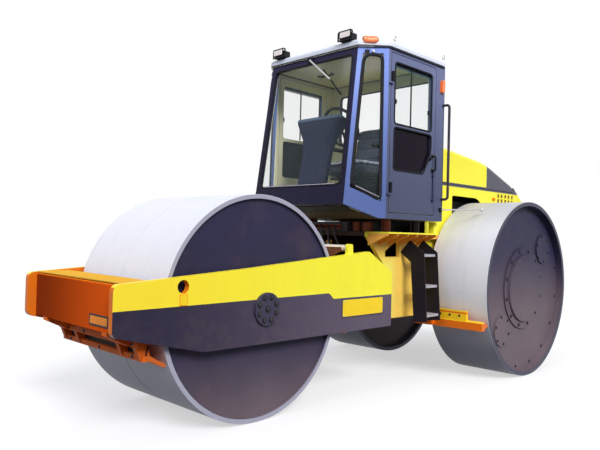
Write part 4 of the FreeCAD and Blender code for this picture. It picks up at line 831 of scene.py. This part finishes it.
class ROLLER_OT_camera(RollerStep, bpy.types.Operator):
    """Places the camera as the photograph was taken."""
    bl_idname = "roller.camera"
    bl_label = "Camera"

    def execute(self, context):
        eye, yaw, pitch, roll = (4.5201, 3.8395, 1.3255), -2.3563, 0.0149, 0.0256
        ahead = np.array([np.cos(yaw) * np.cos(pitch), np.sin(yaw) * np.cos(pitch), np.sin(pitch)])
        level = np.cross(ahead, [0, 0, 1])
        level /= np.linalg.norm(level)
        upright = np.cross(level, ahead)
        right = np.cos(roll) * level + np.sin(roll) * upright
        up = -np.sin(roll) * level + np.cos(roll) * upright
        data = bpy.data.cameras.new("camera")
        data.sensor_width, data.lens = 36.0, 37.22
        data.clip_start, data.clip_end = 0.1, 200
        camera = bpy.data.objects.new("camera", data)
        context.scene.collection.objects.link(camera)
        turn = Matrix([list(row) for row in zip(right, up, -ahead)]).to_4x4()
        camera.matrix_world = Matrix.Translation(eye) @ turn
        context.scene.camera = camera
        return {"FINISHED"}


class ROLLER_OT_stage(RollerStep, bpy.types.Operator):
    """Lays the pale floor and lights the studio."""
    bl_idname = "roller.stage"
    bl_label = "Stage"

    def seen(self, sheet):
        """1 for a ray from the camera or through a mirror or glass, 0 for one that lights."""
        paths = [sheet.add("ShaderNodeLightPath", {}, {}, i) for i in (0, 3, 6)]
        return paths[0].greater(paths[1]).greater(paths[2])

    def execute(self, context):
        scene, light = context.scene, context.scene.roller_light
        scene.view_settings.view_transform = "Standard"
        sheet = Sheet("studio", bpy.data.worlds)
        overhead = sheet.z.over(0.35, 1.1)
        even = sheet.add("ShaderNodeBackground", {},
                         {0: (0.93, 0.96, 1.0), 1: (0.42 + 0.75 * overhead) * light.sky})
        white = sheet.add("ShaderNodeBackground", {}, {0: (1.0, 1.0, 1.0), 1: 1.0})
        backdrop = sheet.add("ShaderNodeMixShader", {}, {0: self.seen(sheet), 1: even, 2: white})
        sheet.add("ShaderNodeOutputWorld", {}, {"Surface": backdrop})
        scene.world = sheet.material

        for name, towards, power, spread, tint in (
                ("sun_left", (0.30, 0.76, 0.57), light.sun, 24, (1.0, 0.99, 0.96)),
                ("sun_front", (0.75, 0.05, 0.64), light.sun * 0.26, 40, (0.95, 0.97, 1.0))):
            data = bpy.data.lights.new(name, "SUN")
            data.energy, data.angle, data.color = power, np.radians(spread), tint
            lamp = bpy.data.objects.new(name, data)
            lamp.rotation_mode = "QUATERNION"
            lamp.rotation_quaternion = Vector(towards).to_track_quat("Z", "Y")
            scene.collection.objects.link(lamp)

        half = 60
        mesh = bpy.data.meshes.new("floor")
        mesh.from_pydata([(-half, -half, 0), (half, -half, 0), (half, half, 0), (-half, half, 0)],
                         [], [(0, 1, 2, 3)])
        floor = bpy.data.objects.new("floor", mesh)
        scene.collection.objects.link(floor)
        sheet = Sheet("floor")
        away = (sheet.x * sheet.x + sheet.y * sheet.y).root().over(5.6, 4.0)
        lit = sheet.add("ShaderNodeBsdfDiffuse", {}, {0: (0.46, 0.46, 0.48)})
        glow = sheet.add("ShaderNodeEmission", {}, {0: (1.0, 1.0, 1.0), 1: 0.56})
        shadow = sheet.add("ShaderNodeAddShader", {}, {0: lit, 1: glow})
        plain = sheet.add("ShaderNodeEmission", {}, {0: (1.0, 1.0, 1.0), 1: 1.0})
        shown = sheet.add("ShaderNodeMixShader", {}, {0: away, 1: shadow, 2: plain})
        pale = sheet.add("ShaderNodeBsdfDiffuse", {}, {0: (0.12, 0.12, 0.13)})
        mesh.materials.append(sheet.done(
            sheet.add("ShaderNodeMixShader", {}, {0: self.seen(sheet), 1: pale, 2: shown})))
        return {"FINISHED"}


class ROLLER_OT_frame_finishes(RollerStep, bpy.types.Operator):
    """Gives each piece of the frame its finish."""
    bl_idname = "roller.frame_finishes"
    bl_label = "Frame finishes"

    def execute(self, context):
        for name, nodes in NODE_FINISH.items():
            for node in nodes.split():
                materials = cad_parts[node].data.materials
                materials.clear()
                materials.append(finish(name))
        bare = set(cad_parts) - set(" ".join(NODE_FINISH.values()).split())
        if bare:
            raise RuntimeError("no finish for " + ", ".join(sorted(bare)))
        return {"FINISHED"}


class ROLLER_OT_hub_bolts(RollerStep, bpy.types.Operator):
    """Bolts the front hubs' flanges to the yoke."""
    bl_idname = "roller.hub_bolts"
    bl_label = "Hub bolts"

    def execute(self, context):
        radius = sizes().flange_bolt
        ring = repeated(placed(bolt(radius, 0.014), axis=LEFT),
                        around(DRUM, 0.084, 8, HUB_FACE, 22.5))
        middle = placed(bolt(radius * 1.2, 0.016), (DRUM[0], HUB_FACE, DRUM[1]), LEFT)
        both("hub_bolts", "dark_bolt", ring, middle, body="front_frame")
        return {"FINISHED"}


class ROLLER_OT_wheel_bolts(RollerStep, bpy.types.Operator):
    """Bolts on the rear wheels: near the rim, round the cover and round the two hatches."""
    bl_idname = "roller.wheel_bolts"
    bl_label = "Wheel bolts"

    def execute(self, context):
        s, disc_face, cover_face, hatch_out = sizes(), 1.048, 1.062, 0.575
        small = placed(bolt(s.disc_bolt), axis=LEFT)
        shapes = [repeated(small, around(WHEEL, 0.770, s.rim_bolts, disc_face, 9)),
                  repeated(placed(bolt(s.disc_bolt * 1.3), axis=LEFT),
                           around(WHEEL, 0.369, s.cover_bolts, cover_face, 15))]
        for turn in (-42, 138):
            a = np.radians(turn)
            middle = WHEEL[0] + hatch_out * np.cos(a), WHEEL[1] + hatch_out * np.sin(a)
            shapes.append(repeated(small, around(middle, 0.131, 6, cover_face, turn)))
        for side, twin in TWINS:
            make("wheel_bolts_" + side, "dark_bolt", twin(joined(*shapes)), body="wheel_" + side)
        return {"FINISHED"}


class ROLLER_OT_plates(RollerStep, bpy.types.Operator):
    """Blank plates on the yoke's sides and nose, with their screws."""
    bl_idname = "roller.plates"
    bl_label = "Blank plates"

    def execute(self, context):
        thick = sizes().plate
        side_plate, hole_plate = (0.550, YOKE_FACE, 0.748), (2.305, YOKE_FACE, 0.900)
        for name, paint, outline, place, lift in (
                ("side_plate_edge", "charcoal", (0.530, 0.150, 0.010), side_plate, 0.0),
                ("side_plate", "blank_yellow", (0.512, 0.132, 0.010), side_plate, 0.0012),
                ("hole_plate_edge", "orange", (0.058, 0.072, 0.004), hole_plate, 0.0),
                ("hole_plate", "blank_yellow", (0.050, 0.064, 0.003), hole_plate, 0.0012)):
            both(name, paint, block(*outline, place, LEFT, lift, lift + thick),
                 body="front_frame")
        for name, paint, outline, lift in (
                ("nose_plate_edge", "trim", (0.240, 0.072, 0.008), 0),
                ("nose_plate", "orange", (0.214, 0.048, 0.006), 0.001)):
            make(name, paint, block(*outline, (NOSE_FACE, 0.349, 0.774), FORE, lift, lift + thick),
                 body="front_frame")
        places = [(side_plate[0] + sx * 0.243, YOKE_FACE + thick, side_plate[2] + sz * 0.054)
                  for sx in (-1, 1) for sz in (-1, 1)]
        both("plate_screws", "zinc", repeated(placed(bolt(sizes().screw), axis=LEFT), places),
             body="front_frame")
        return {"FINISHED"}


class ROLLER_OT_engine_side(RollerStep, bpy.types.Operator):
    """Air slots as brown plates of painted shade, with their rims, and latches, on the sides of the
    engine bay.
    """
    bl_idname = "roller.engine_side"
    bl_label = "Engine side"

    def execute(self, context):
        columns, rows = -1.960 - 0.082 * np.arange(5), 1.756 + 0.056 * np.arange(2)
        places = [(x, BAY_FACE, z) for x in columns for z in rows]
        slot = block(0.036, 0.040, 0.010, ORIGIN, LEFT, -0.001, 0.0014)
        path = np.column_stack([round_box(0.042, 0.046, 0.012), np.zeros(20)])
        rim = placed(swept(path, [(-0.002, -0.001), (-0.002, 0.002), (0.002, 0.002),
                                  (0.002, -0.001)], UP, True), axis=LEFT)
        # painted shade: a brown plate stands for the shade in each slot
        both("air_slots", "slot", repeated(slot, places))
        both("slot_rims", "yellow", repeated(rim, places))
        latch = (-1.850, BAY_FACE, 1.768)
        both("bay_latches", "orange", block(0.062, 0.034, 0.012, latch, LEFT, 0, 0.010, 0.003),
             placed(turned([(0.010, 0.006), (0.011, 0.016), (0.008, 0.020)], 16), latch, LEFT))
        return {"FINISHED"}


def seal(corners, radius, out, width=None):
    """A rubber section with a round back carried round a window's opening."""
    wide, tall = (width or sizes().seal) / 2, 0.007
    section = [(-wide, -0.002), (-wide, tall * 0.5), (-wide * 0.5, tall), (wide * 0.5, tall),
               (wide, tall * 0.5), (wide, -0.002)]
    return swept(rounded(corners, radius, 6, True), section, out, True)


def screen_point(y, height):
    """A point on the windscreen frame's outer face at a height along its slope."""
    share = height / SCREEN_TALL
    return SCREEN_FOOT[0] - SCREEN_LEAN * share, y, SCREEN_FOOT[1] + SCREEN_RISE * share


def corner_point(z, along):
    """A point on the left corner panel's outer face: a distance along its level line at a height,
    from the leaning front edge toward the door post. Negative distances count from the post."""
    front = np.array(corner_edge((z - SCREEN_FOOT[1]) / SCREEN_RISE))
    run = np.array([POST, DOOR_FACE]) - front
    run_length = np.linalg.norm(run)
    run /= run_length
    spot = front + run * (along if along > 0 else run_length + along)
    return np.array([*spot, z]), np.array([run[1], -run[0], 0])


def corner_window():
    """The seal of the left corner window and the bead along its foot: the lower edge rises toward
    the front, and each corner is rounded."""
    corners = [(1.745, 0.056), (2.835, 0.056), (2.835, -0.056), (1.628, -0.056)]
    points, outs = zip(*(corner_point(z, along) for z, along in corners))
    out = np.mean(outs, axis=0)
    section = [(-0.014, -0.002), (-0.014, 0.006), (-0.006, 0.010), (0.006, 0.010), (0.014, 0.006),
               (0.014, -0.002)]
    ring = rounded(points, [0.055, 0.070, 0.055, 0.045], 6, True) + out * 0.001
    foot = np.linspace(ring[18:24].mean(0), ring[0:3].mean(0), 5)
    return swept(ring, section, out, True), tube(foot + out * 0.011, 0.003, out)


class ROLLER_OT_small_steel(RollerStep, bpy.types.Operator):
    """The nose's flange, a dark rubber sheet of painted shade behind the scraper, bolts, pegs,
    posts, roof eyes, lozenge and clips.
    """
    bl_idname = "roller.small_steel"
    bl_label = "Small steel"

    def execute(self, context):
        flange = slab([(2.486, -0.576), (2.716, -0.576), (2.716, 0.576), (2.486, 0.576)],
                      1.010, 1.020, 0.002)
        make("nose_flange", "nose_flange", flange, body="front_frame")
        # painted shade: a dark rubber sheet behind the scraper's openings
        make("scraper_apron", "rubber",
             block(1.060, 0.062, 0.002, (2.490, 0, 0.590), (1, 0, 0.2), 0, 0.005),
             body="front_frame")
        nut = placed(bolt(0.009), axis=FORE)
        make("scraper_bolts", "dark_bolt",
             in_row(nut, 2.565, (-0.47, -0.39, -0.16, 0.16, 0.39, 0.47), 0.634),
             in_row(nut, 2.530, (-0.42, 0.0, 0.42), 0.547), body="front_frame")
        peg = turned([(0.016, -0.02), (0.020, 0.004), (0.020, 0.036), (0.012, 0.044)], 18)
        both("yoke_pegs", "orange", placed(peg, (0.760, 0.600, 0.590), (0, 0, -1)),
             body="front_frame")
        both("wheel_scraper_bolts", "dark_bolt",
             in_row(nut, -0.520, (0.58, 0.68, 0.78, 0.88), 0.622))
        both("shelf_posts", "yellow",
             block(0.044, 0.060, 0.006, (-0.462, 0.612, SHELF), UP, 0, 0.106, 0.003))
        a = np.arange(20) * np.pi / 10
        eye = tube(np.stack([0.018 * np.cos(a), 0 * a, 0.018 * np.sin(a)], 1), 0.005, LEFT, 10,
                   True)
        both("roof_eyes", "zinc", repeated(eye, [(0.325, 0.716, 2.984), (-0.425, 0.716, 2.990)]))
        spot, out = corner_point(2.900, 0.100)
        spot = spot + [0, 0, 0.056]
        make("roof_lozenge", "amber",
             block(0.124, 0.050, 0.022, spot, out, 0.010, 0.042, 0.010))
        make("lozenge_base", "trim", block(0.138, 0.062, 0.026, spot, out, 0.004, 0.016, 0.003))
        spot, out = corner_point(2.862, 0.080)
        both("corner_clips", "trim", block(0.040, 0.026, 0.006, spot, out, -0.002, 0.014, 0.003))
        both("corner_pins", "zinc",
             placed(turned([(0.011, 0.012), (0.012, 0.020), (0.007, 0.026)], 18),
                    corner_point(2.862, 0.130)[0], out))
        return {"FINISHED"}


class ROLLER_OT_under_cab(RollerStep, bpy.types.Operator):
    """Valve block, rust-brown unions and rigid pipes on the chassis under the cab."""
    bl_idname = "roller.under_cab"
    bl_label = "Under the cab"

    def execute(self, context):
        level = 1.405
        make("valve_block", "cast",
             block(0.200, 0.460, 0.010, (0.150, -0.060, SHELF), UP, 0, 0.086, 0.004),
             block(0.300, 0.700, 0.010, (-0.180, 0, SHELF), UP, 0, 0.012, 0.002))
        union = placed(turned([(0.018, -0.004), (0.018, 0.030), (0.024, 0.032), (0.024, 0.052),
                               (0.014, 0.056)], 6), axis=FORE)
        can = turned([(0.034, 0), (0.040, 0.006), (0.040, 0.080), (0.030, 0.092)], 24)
        make("pipe_unions", "rust", in_row(union, 0.248, (-0.22, -0.14, -0.06, 0.02, 0.10), level),
             repeated(can, [(x, y, SHELF) for x, y in ((0.200, 0.250), (0.090, 0.300),
                                                       (0.190, 0.350))]))
        pipes = [tube(rounded([(0.300, y, level), (0.330, y, level), (0.330, y, 1.340 - drop),
                               (0.330, y + shift, 1.260 - drop), (0.285, y + shift, 1.240 - drop)],
                              0.018), 0.010, LEFT)
                 for y, shift, drop in ((-0.22, -0.03, 0.00), (-0.14, -0.02, 0.03),
                                        (-0.06, 0.02, 0.01), (0.02, 0.03, 0.04),
                                        (0.10, 0.05, 0.02))]
        make("valve_pipes", "grip", *pipes)
        return {"FINISHED"}


class ROLLER_OT_windows(RollerStep, bpy.types.Operator):
    """Rubber seals round the windows, sliding-pane dividers and window catches."""
    bl_idname = "roller.windows"
    bl_label = "Window trim"

    def execute(self, context):
        foot, head = (half - 0.048 for half in SCREEN_HALF)
        screen = [screen_point(-foot, 0.168), screen_point(foot, 0.168),
                  screen_point(head, SCREEN_TALL - 0.056),
                  screen_point(-head, SCREEN_TALL - 0.056)]
        rear = [(CAB_REAR, y, z) for y, z in ((-0.570, 2.300), (-0.570, 2.800), (0.570, 2.800),
                                              (0.570, 2.300))]
        corner, bead = corner_window()
        make("screen_seal", "rubber", seal(screen, 0.045, SCREEN_OUT))
        make("rear_seal", "rubber", seal(rear, 0.045, AFT))
        both("corner_seals", "rubber", corner)
        low = np.linspace(screen_point(0.06 - foot, 0.170), screen_point(foot - 0.06, 0.170), 5)
        make("seal_beads", "pale_seal", tube(low + SCREEN_OUT * 0.007, 0.003, SCREEN_OUT), bead,
             mirrored(bead))
        trim = [seal([(x, DOOR_FACE, z) for x, z in corners], radius, LEFT, 0.014)
                for radius, corners in (
                    (0.035, ((-0.268, 2.280), (-0.268, 2.800), (0.290, 2.800), (0.290, 2.280))),
                    (0.030, ((-0.155, 1.890), (-0.268, 2.100), (-0.268, 2.250), (0.290, 2.250),
                             (0.290, 1.890))))]
        bar = block(0.012, 0.500, 0.003, (0.030, DOOR_FACE - 0.014, 2.540), LEFT, -0.008, 0.001)
        catch = joined(block(0.022, 0.046, 0.009, ORIGIN, LEFT, 0, 0.008, 0.002),
                       block(0.014, 0.030, 0.006, ORIGIN, LEFT, 0.006, 0.018, 0.003))
        catches = repeated(catch, [(x, DOOR_FACE - 0.016, z) for x, z in ((0.262, 2.470),
                                                                          (-0.235, 2.450))])
        for side, twin in TWINS:
            make("door_seals_" + side, "rubber", twin(joined(*trim)), body=side + "_door")
            make("pane_bar_" + side, "trim", twin(bar), twin(catches), body=side + "_door")
        return {"FINISHED"}


class ROLLER_OT_door_gear(RollerStep, bpy.types.Operator):
    """Door handles, lock rods, and the rod with a ball at its end that marks the left wheel."""
    bl_idname = "roller.door_gear"
    bl_label = "Door gear"

    def execute(self, context):
        y, grip, rod = DOOR_FACE, -0.292, -0.300
        handle = joined(
            tube(rounded([(grip, y - 0.002, 2.060), (grip, y + 0.040, 2.060),
                          (grip, y + 0.040, 1.930), (grip, y - 0.002, 1.930)], 0.014), 0.008, FORE),
            repeated(block(0.034, 0.040, 0.010, ORIGIN, LEFT, 0, 0.006, 0.0015),
                     [(grip, y, 2.060), (grip, y, 1.930)]),
            placed(turned([(0.013, 0), (0.013, 0.010), (0.010, 0.014)], 18), (-0.262, y, 2.040),
                   LEFT))
        lock = joined(
            tube([(rod, y + 0.008, 1.925), (rod, y + 0.008, 1.640)], 0.004, FORE),
            repeated(block(0.020, 0.014, 0.003, ORIGIN, LEFT, 0, 0.013, 0.001),
                     [(rod, y, 1.880), (rod, y, 1.660)]))
        for side, twin in TWINS:
            make("door_handle_" + side, "black", twin(handle), body=side + "_door")
            make("lock_rod_" + side, "console", twin(lock), body=side + "_door",
                 slot="paint_cab")
        start, end = np.array([-0.430, y + 0.018, 1.584]), np.array([-0.900, 0.868, 1.602])
        make("marker_rod", "zinc", tube(np.linspace(start, end, 6), 0.0065),
             placed(ball(0.017), end + (end - start) * 0.012, end - start))
        make("marker_rod_bracket", "black",
             block(0.030, 0.034, 0.006, (-0.436, y, 1.584), LEFT, -0.001, 0.024, 0.002))
        return {"FINISHED"}


class ROLLER_OT_wiper(RollerStep, bpy.types.Operator):
    """The windscreen's wiper with its motor cap."""
    bl_idname = "roller.wiper"
    bl_label = "Wiper"

    def execute(self, context):
        hub, lift = screen_point(-0.020, 1.312), SCREEN_OUT * 0.030
        arm = swept(np.linspace(np.array(hub) + lift, np.array(screen_point(0.270, 1.080)) + lift,
                                4),
                    [(-0.007, -0.003), (0.007, -0.003), (0.007, 0.003), (-0.007, 0.003)],
                    SCREEN_OUT)
        ends = screen_point(0.160, 1.190), screen_point(0.400, 0.930)
        blade = swept(np.linspace(*ends, 5) + SCREEN_OUT * 0.010,
                      [(-0.002, -0.014), (0.002, -0.014), (0.006, 0.002), (0.004, 0.009),
                       (-0.004, 0.009), (-0.006, 0.002)], SCREEN_OUT)
        cap = turned([(0.026, -0.004), (0.026, 0.020), (0.020, 0.032), (0.010, 0.036)], 24)
        make("wiper_arm", "zinc", arm)
        make("wiper_blade", "rubber", blade)
        make("wiper_cap", "trim", placed(cap, hub, SCREEN_OUT))
        return {"FINISHED"}


class ROLLER_OT_lamp_glass(RollerStep, bpy.types.Operator):
    """Rims and lenses of the work lamps and of the tail lamps."""
    bl_idname = "roller.lamp_glass"
    bl_label = "Lamp lenses"

    def execute(self, context):
        front, side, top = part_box("work_lamps")[1]
        for name, paint, outline, span in (
                ("work_lamp_rims", "trim", (0.130, 0.064, 0.012), (-0.002, 0.006, 0.002)),
                ("work_lamp_lenses", "lamp_lens", (0.112, 0.048, 0.010), (0.000, 0.009, 0.003))):
            both(name, paint, block(*outline, (front, side - 0.075, top - 0.038), FORE, *span))
        for name, paint, outline, z, span in (
                ("tail_lamp_rims", "trim", (0.136, 0.072, 0.012), 1.600, (-0.002, 0.014, 0.003)),
                ("tail_lamp_lenses", "red_lens", (0.060, 0.056, 0.008), 1.631,
                 (0.008, 0.022, 0.004)),
                ("turn_lenses", "amber", (0.054, 0.056, 0.008), 1.569, (0.008, 0.022, 0.004))):
            both(name, paint, block(*outline, (LAMP_WALL, 0.427, z), AFT, *span, LEFT))
        return {"FINISHED"}


class ROLLER_OT_inside(RollerStep, bpy.types.Operator):
    """Fittings inside the cab: grab bar, console, gauges, switches and the drive lever."""
    bl_idname = "roller.inside"
    bl_label = "Inside fittings"

    def execute(self, context):
        bar = [(0.535, 0.035, 2.735), (0.500, 0.035, 2.735), (0.500, 0.190, 2.735),
               (0.535, 0.190, 2.735)]
        make("screen_bar", "trim", tube(rounded(bar, 0.012), 0.009))
        levels = (  # height, front, back, half width, cut corner and slope of each ring
            (1.556, 0.665, 0.520, 0.165, 0.050, 0.0), (2.060, 0.545, 0.405, 0.165, 0.050, 0.0),
            (2.190, 0.520, 0.375, 0.190, 0.040, 0.0), (2.345, 0.498, 0.335, 0.262, 0.020, 0.10),
            (2.372, 0.490, 0.330, 0.270, 0.016, 0.35), (2.386, 0.478, 0.334, 0.262, 0.016, 0.40))
        rings = []
        for z, fore, aft, half, cut, slope in levels:
            x = np.array([aft, aft + cut, fore - cut, fore, fore, fore - cut, aft + cut, aft])
            y = np.array([cut - half, -half, -half, cut - half, half - cut, half, half, half - cut])
            rings.append(np.column_stack([x, y, z + slope * (x - fore)]))
        console = make("console", "console", closed(np.array(rings)))
        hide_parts("dash_console")
        tilt = np.arctan(0.40)
        out = np.array([-np.sin(tilt), 0, np.cos(tilt)])
        rise = np.array([np.cos(tilt), 0, np.sin(tilt)])
        middle = np.array([0.400, 0, 2.386 - 0.078 * 0.40])

        def on_face(shape, across):
            return placed(shape, middle + [0, across, 0], out, rise)

        dials = ((0.120, 0.026), (0.050, 0.020), (-0.020, 0.020))
        make("gauge_rims", "trim",
             *(on_face(turned([(r, -0.004), (r, 0.006), (r * 0.86, 0.009)], 28), y)
               for y, r in dials))
        make("gauge_faces", "blank_pale",
             *(on_face(turned([(r * 0.8, 0.006), (r * 0.8, 0.0095)], 28), y) for y, r in dials))
        make("switches", "rubber",
             *(on_face(slab(round_box(0.018, 0.030, 0.003), -0.002, 0.007, 0.002), y)
               for y in (-0.080, -0.108, -0.136, -0.164)))
        x, y = 0.080, -0.330
        lever = rounded([(x, y, CAB_FLOOR), (x, y, 2.020), (0.130, y, 2.260)], 0.05)
        knob = turned([(0.010, -0.03), (0.019, 0.0), (0.021, 0.022), (0.012, 0.036)], 20)
        boot = turned([(0.050, 0), (0.044, 0.018), (0.046, 0.024), (0.034, 0.044), (0.036, 0.050),
                       (0.016, 0.085)], 24)
        make("drive_lever", "ground_rod", tube(lever, 0.009, LEFT))
        make("drive_knob", "trim", placed(knob, (0.133, y, 2.270), (0.2, 0, 1)),
             placed(boot, (x, y, CAB_FLOOR)))
        return {"FINISHED"}


def pad(name, outline, width, lines, face):
    """A padded form: a side outline given width, its skin rebuilt in small cells, blown up by cloth
    under pressure and held to a cap. Each point then sinks by deep * exp(-(d / wide)^2), d its
    distance from the nearest sewn line, where it looks the same way as the face."""
    path = rounded(outline, 0.028, 6, True)
    share = np.linspace(-1, 1, 9)[:, None]
    middle = path.mean(0)
    drawn = middle + (path - middle) * (1 - 0.10 * np.abs(share) ** 5)[..., None]
    rings = np.stack([drawn[..., 0], np.broadcast_to(share * width / 2, drawn.shape[:2]),
                      drawn[..., 1]], -1)
    piece = make(name, "cloth", closed(rings), crease=80)
    bpy.context.view_layer.objects.active = piece
    remesh = piece.modifiers.new("cells", "REMESH")
    remesh.mode, remesh.voxel_size = "VOXEL", CELL
    graph = bpy.context.evaluated_depsgraph_get()
    mesh = bpy.data.meshes.new_from_object(piece.evaluated_get(graph))
    piece.modifiers.clear()
    piece.data = mesh
    points = np.empty(len(mesh.vertices) * 3)
    mesh.vertices.foreach_get("co", points)
    cloth = piece.modifiers.new("blow", "CLOTH")
    cloth.settings.use_pressure, cloth.settings.uniform_pressure_force = True, PRESSURE
    cloth.settings.effector_weights.gravity = 0
    for number in range(1, FRAMES + 1):
        bpy.context.scene.frame_set(number)
    graph = bpy.context.evaluated_depsgraph_get()
    blown = np.empty(len(points))
    piece.evaluated_get(graph).data.vertices.foreach_get("co", blown)
    move = (blown - points).reshape(-1, 3)
    far = np.linalg.norm(move, axis=1, keepdims=True)
    move *= np.minimum(1, CAP / np.maximum(far, 1e-9))
    piece.modifiers.clear()
    points = points + move.ravel()
    mesh.vertices.foreach_set("co", points)
    bpy.context.scene.frame_set(1)
    mesh.polygons.foreach_set("use_smooth", np.ones(len(mesh.polygons), bool))
    mesh.update()
    points = points.reshape(-1, 3)
    sink = np.zeros(len(points))
    for axis, place in lines:
        sink = np.maximum(sink, np.exp(-((points[:, axis] - place) / SEW_WIDE) ** 2))
    normal = np.empty(points.size)
    mesh.vertices.foreach_get("normal", normal)
    normal = normal.reshape(-1, 3)
    sink *= np.clip(normal @ np.asarray(face, float), 0, 1) * SEW_DEEP
    mesh.vertices.foreach_set("co", (points - normal * sink[:, None]).ravel())
    mesh.update()
    return piece


class ROLLER_OT_seat(RollerStep, bpy.types.Operator):
    """The padded seat with its sewn channels, its base, arm rests and thin cover."""
    bl_idname = "roller.seat"
    bl_label = "Seat"

    def thin_cover(self):
        """A crumpled film: creases |sin(w (x cos t + y sin t) + s)| / w of random turn t, wave w
        and shift s are summed over the cushion's top, and its edge is drawn down by
        max(|x|, |y|)^8."""
        rows = 61
        across, deep = np.meshgrid(*[np.linspace(-1, 1, rows)] * 2, indexing="ij")
        rng = np.random.default_rng(7)
        height = np.zeros_like(across)
        for _ in range(26):
            turn, wave, shift = rng.uniform(0, np.pi), rng.uniform(5, 16), rng.uniform(0, 6.28)
            along = across * np.cos(turn) + deep * np.sin(turn)
            height += np.abs(np.sin(wave * along + shift)) / wave
        height = (height - height.min()) / (height.max() - height.min())
        edge = np.maximum(np.abs(across), np.abs(deep)) ** 8
        points = np.stack([-0.075 + 0.205 * deep * (1 - 0.02 * edge), 0.232 * across,
                           2.016 + 0.026 * height - 0.030 * edge], -1).reshape(-1, 3)
        number = np.arange(rows * rows).reshape(rows, rows)
        i = number[:-1, :-1]
        top = np.stack([i, i + rows, i + rows + 1, i + 1], -1).reshape(-1, 4)
        loop = np.concatenate([number[0], number[1:, -1], number[-1, -2::-1], number[-2:0:-1, 0]])
        after, count = np.roll(loop, -1), rows * rows
        rim = np.stack([loop, after, after + count, loop + count], -1)
        faces = np.vstack([top[:, ::-1], top + count, rim[:, ::-1]])
        points = np.vstack([points, points - [0, 0, 0.0012]])
        if volume(points, faces) < 0:
            faces = faces[:, ::-1]
        return points, faces.tolist()

    def execute(self, context):
        cushion = pad("seat_cushion", [(-0.300, 1.905), (0.120, 1.905), (0.130, 1.998),
                                       (-0.300, 1.990)], 0.478,
                      ((1, -0.150), (1, 0.150), (0, -0.180), (0, -0.060), (0, 0.050)), UP)
        back = pad("seat_back", [(-0.372, 1.930), (-0.255, 1.985), (-0.318, 2.400),
                                 (-0.392, 2.400)], 0.420,
                   ((1, -0.150), (1, 0.150), (2, 2.080), (2, 2.180), (2, 2.280)), (1, 0, 0.1))
        folds = [((0.166, 0.178)[k % 2], 0.03 * k) for k in range(3, 11)]
        bellows = turned([(0.170, 0.02), (0.178, 0.04), (0.166, 0.06), *folds, (0.174, 0.32),
                          (0.174, 0.33)], 4, np.pi / 4)
        foot = (-0.175, 0, CAB_FLOOR)
        base = make("seat_base", "trim", placed((bellows[0] * [1.32, 1.36, 1], bellows[1]), foot),
                    block(0.380, 0.400, 0.02, foot, UP, 0, 0.02, 0.003),
                    block(0.420, 0.440, 0.03, (-0.130, 0, CAB_FLOOR + 0.340), UP, 0, 0.022, 0.004),
                    crease=30)
        both("seat_arms", "rubber",
             block(0.330, 0.052, 0.022, (-0.140, 0.260, 2.150), UP, 0, 0.036, 0.012),
             block(0.036, 0.024, 0.006, (-0.280, 0.258, 1.920), UP, 0, 0.240, 0.002), crease=50)
        for piece in (cushion, back, base):
            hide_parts("operator_seat")
        cover = make("seat_cover", "film", self.thin_cover(), crease=180)
        return {"FINISHED"}


OPERATORS = (ROLLER_OT_camera, ROLLER_OT_stage, ROLLER_OT_frame_finishes, ROLLER_OT_hub_bolts,
             ROLLER_OT_wheel_bolts, ROLLER_OT_plates, ROLLER_OT_engine_side,
             ROLLER_OT_small_steel, ROLLER_OT_under_cab, ROLLER_OT_windows,
             ROLLER_OT_door_gear, ROLLER_OT_wiper, ROLLER_OT_lamp_glass, ROLLER_OT_inside,
             ROLLER_OT_seat)


class ROLLER_PT_panel(bpy.types.Panel):
    """Lists the roller's colours, sizes, lights and steps."""
    bl_idname = "ROLLER_PT_panel"
    bl_label = "Road Roller"
    bl_space_type = "VIEW_3D"
    bl_region_type = "UI"
    bl_category = "Roller"

    def draw(self, context):
        scene = context.scene
        for group in (scene.roller_paints, scene.roller_sizes, scene.roller_light):
            box = self.layout.box()
            for name in group.__annotations__:
                box.prop(group, name)
        for step in OPERATORS:
            self.layout.operator(step.bl_idname)


GROUPS = (RollerPaints, RollerSizes, RollerLight)


def register():
    for kind in (*GROUPS, *OPERATORS, ROLLER_PT_panel):
        bpy.utils.register_class(kind)
    bpy.types.Scene.roller_paints = PointerProperty(type=RollerPaints)
    bpy.types.Scene.roller_sizes = PointerProperty(type=RollerSizes)
    bpy.types.Scene.roller_light = PointerProperty(type=RollerLight)


def unregister():
    for name in ("roller_paints", "roller_sizes", "roller_light"):
        delattr(bpy.types.Scene, name)
    for kind in reversed((*GROUPS, *OPERATORS, ROLLER_PT_panel)):
        bpy.utils.unregister_class(kind)


def main():
    """Makes the roller step by step."""
    register()
    for step in OPERATORS:
        name = step.bl_idname.split(".")[1]
        getattr(bpy.ops.roller, name)()
    bpy.context.view_layer.update()


if __name__ == "__main__":
    main()
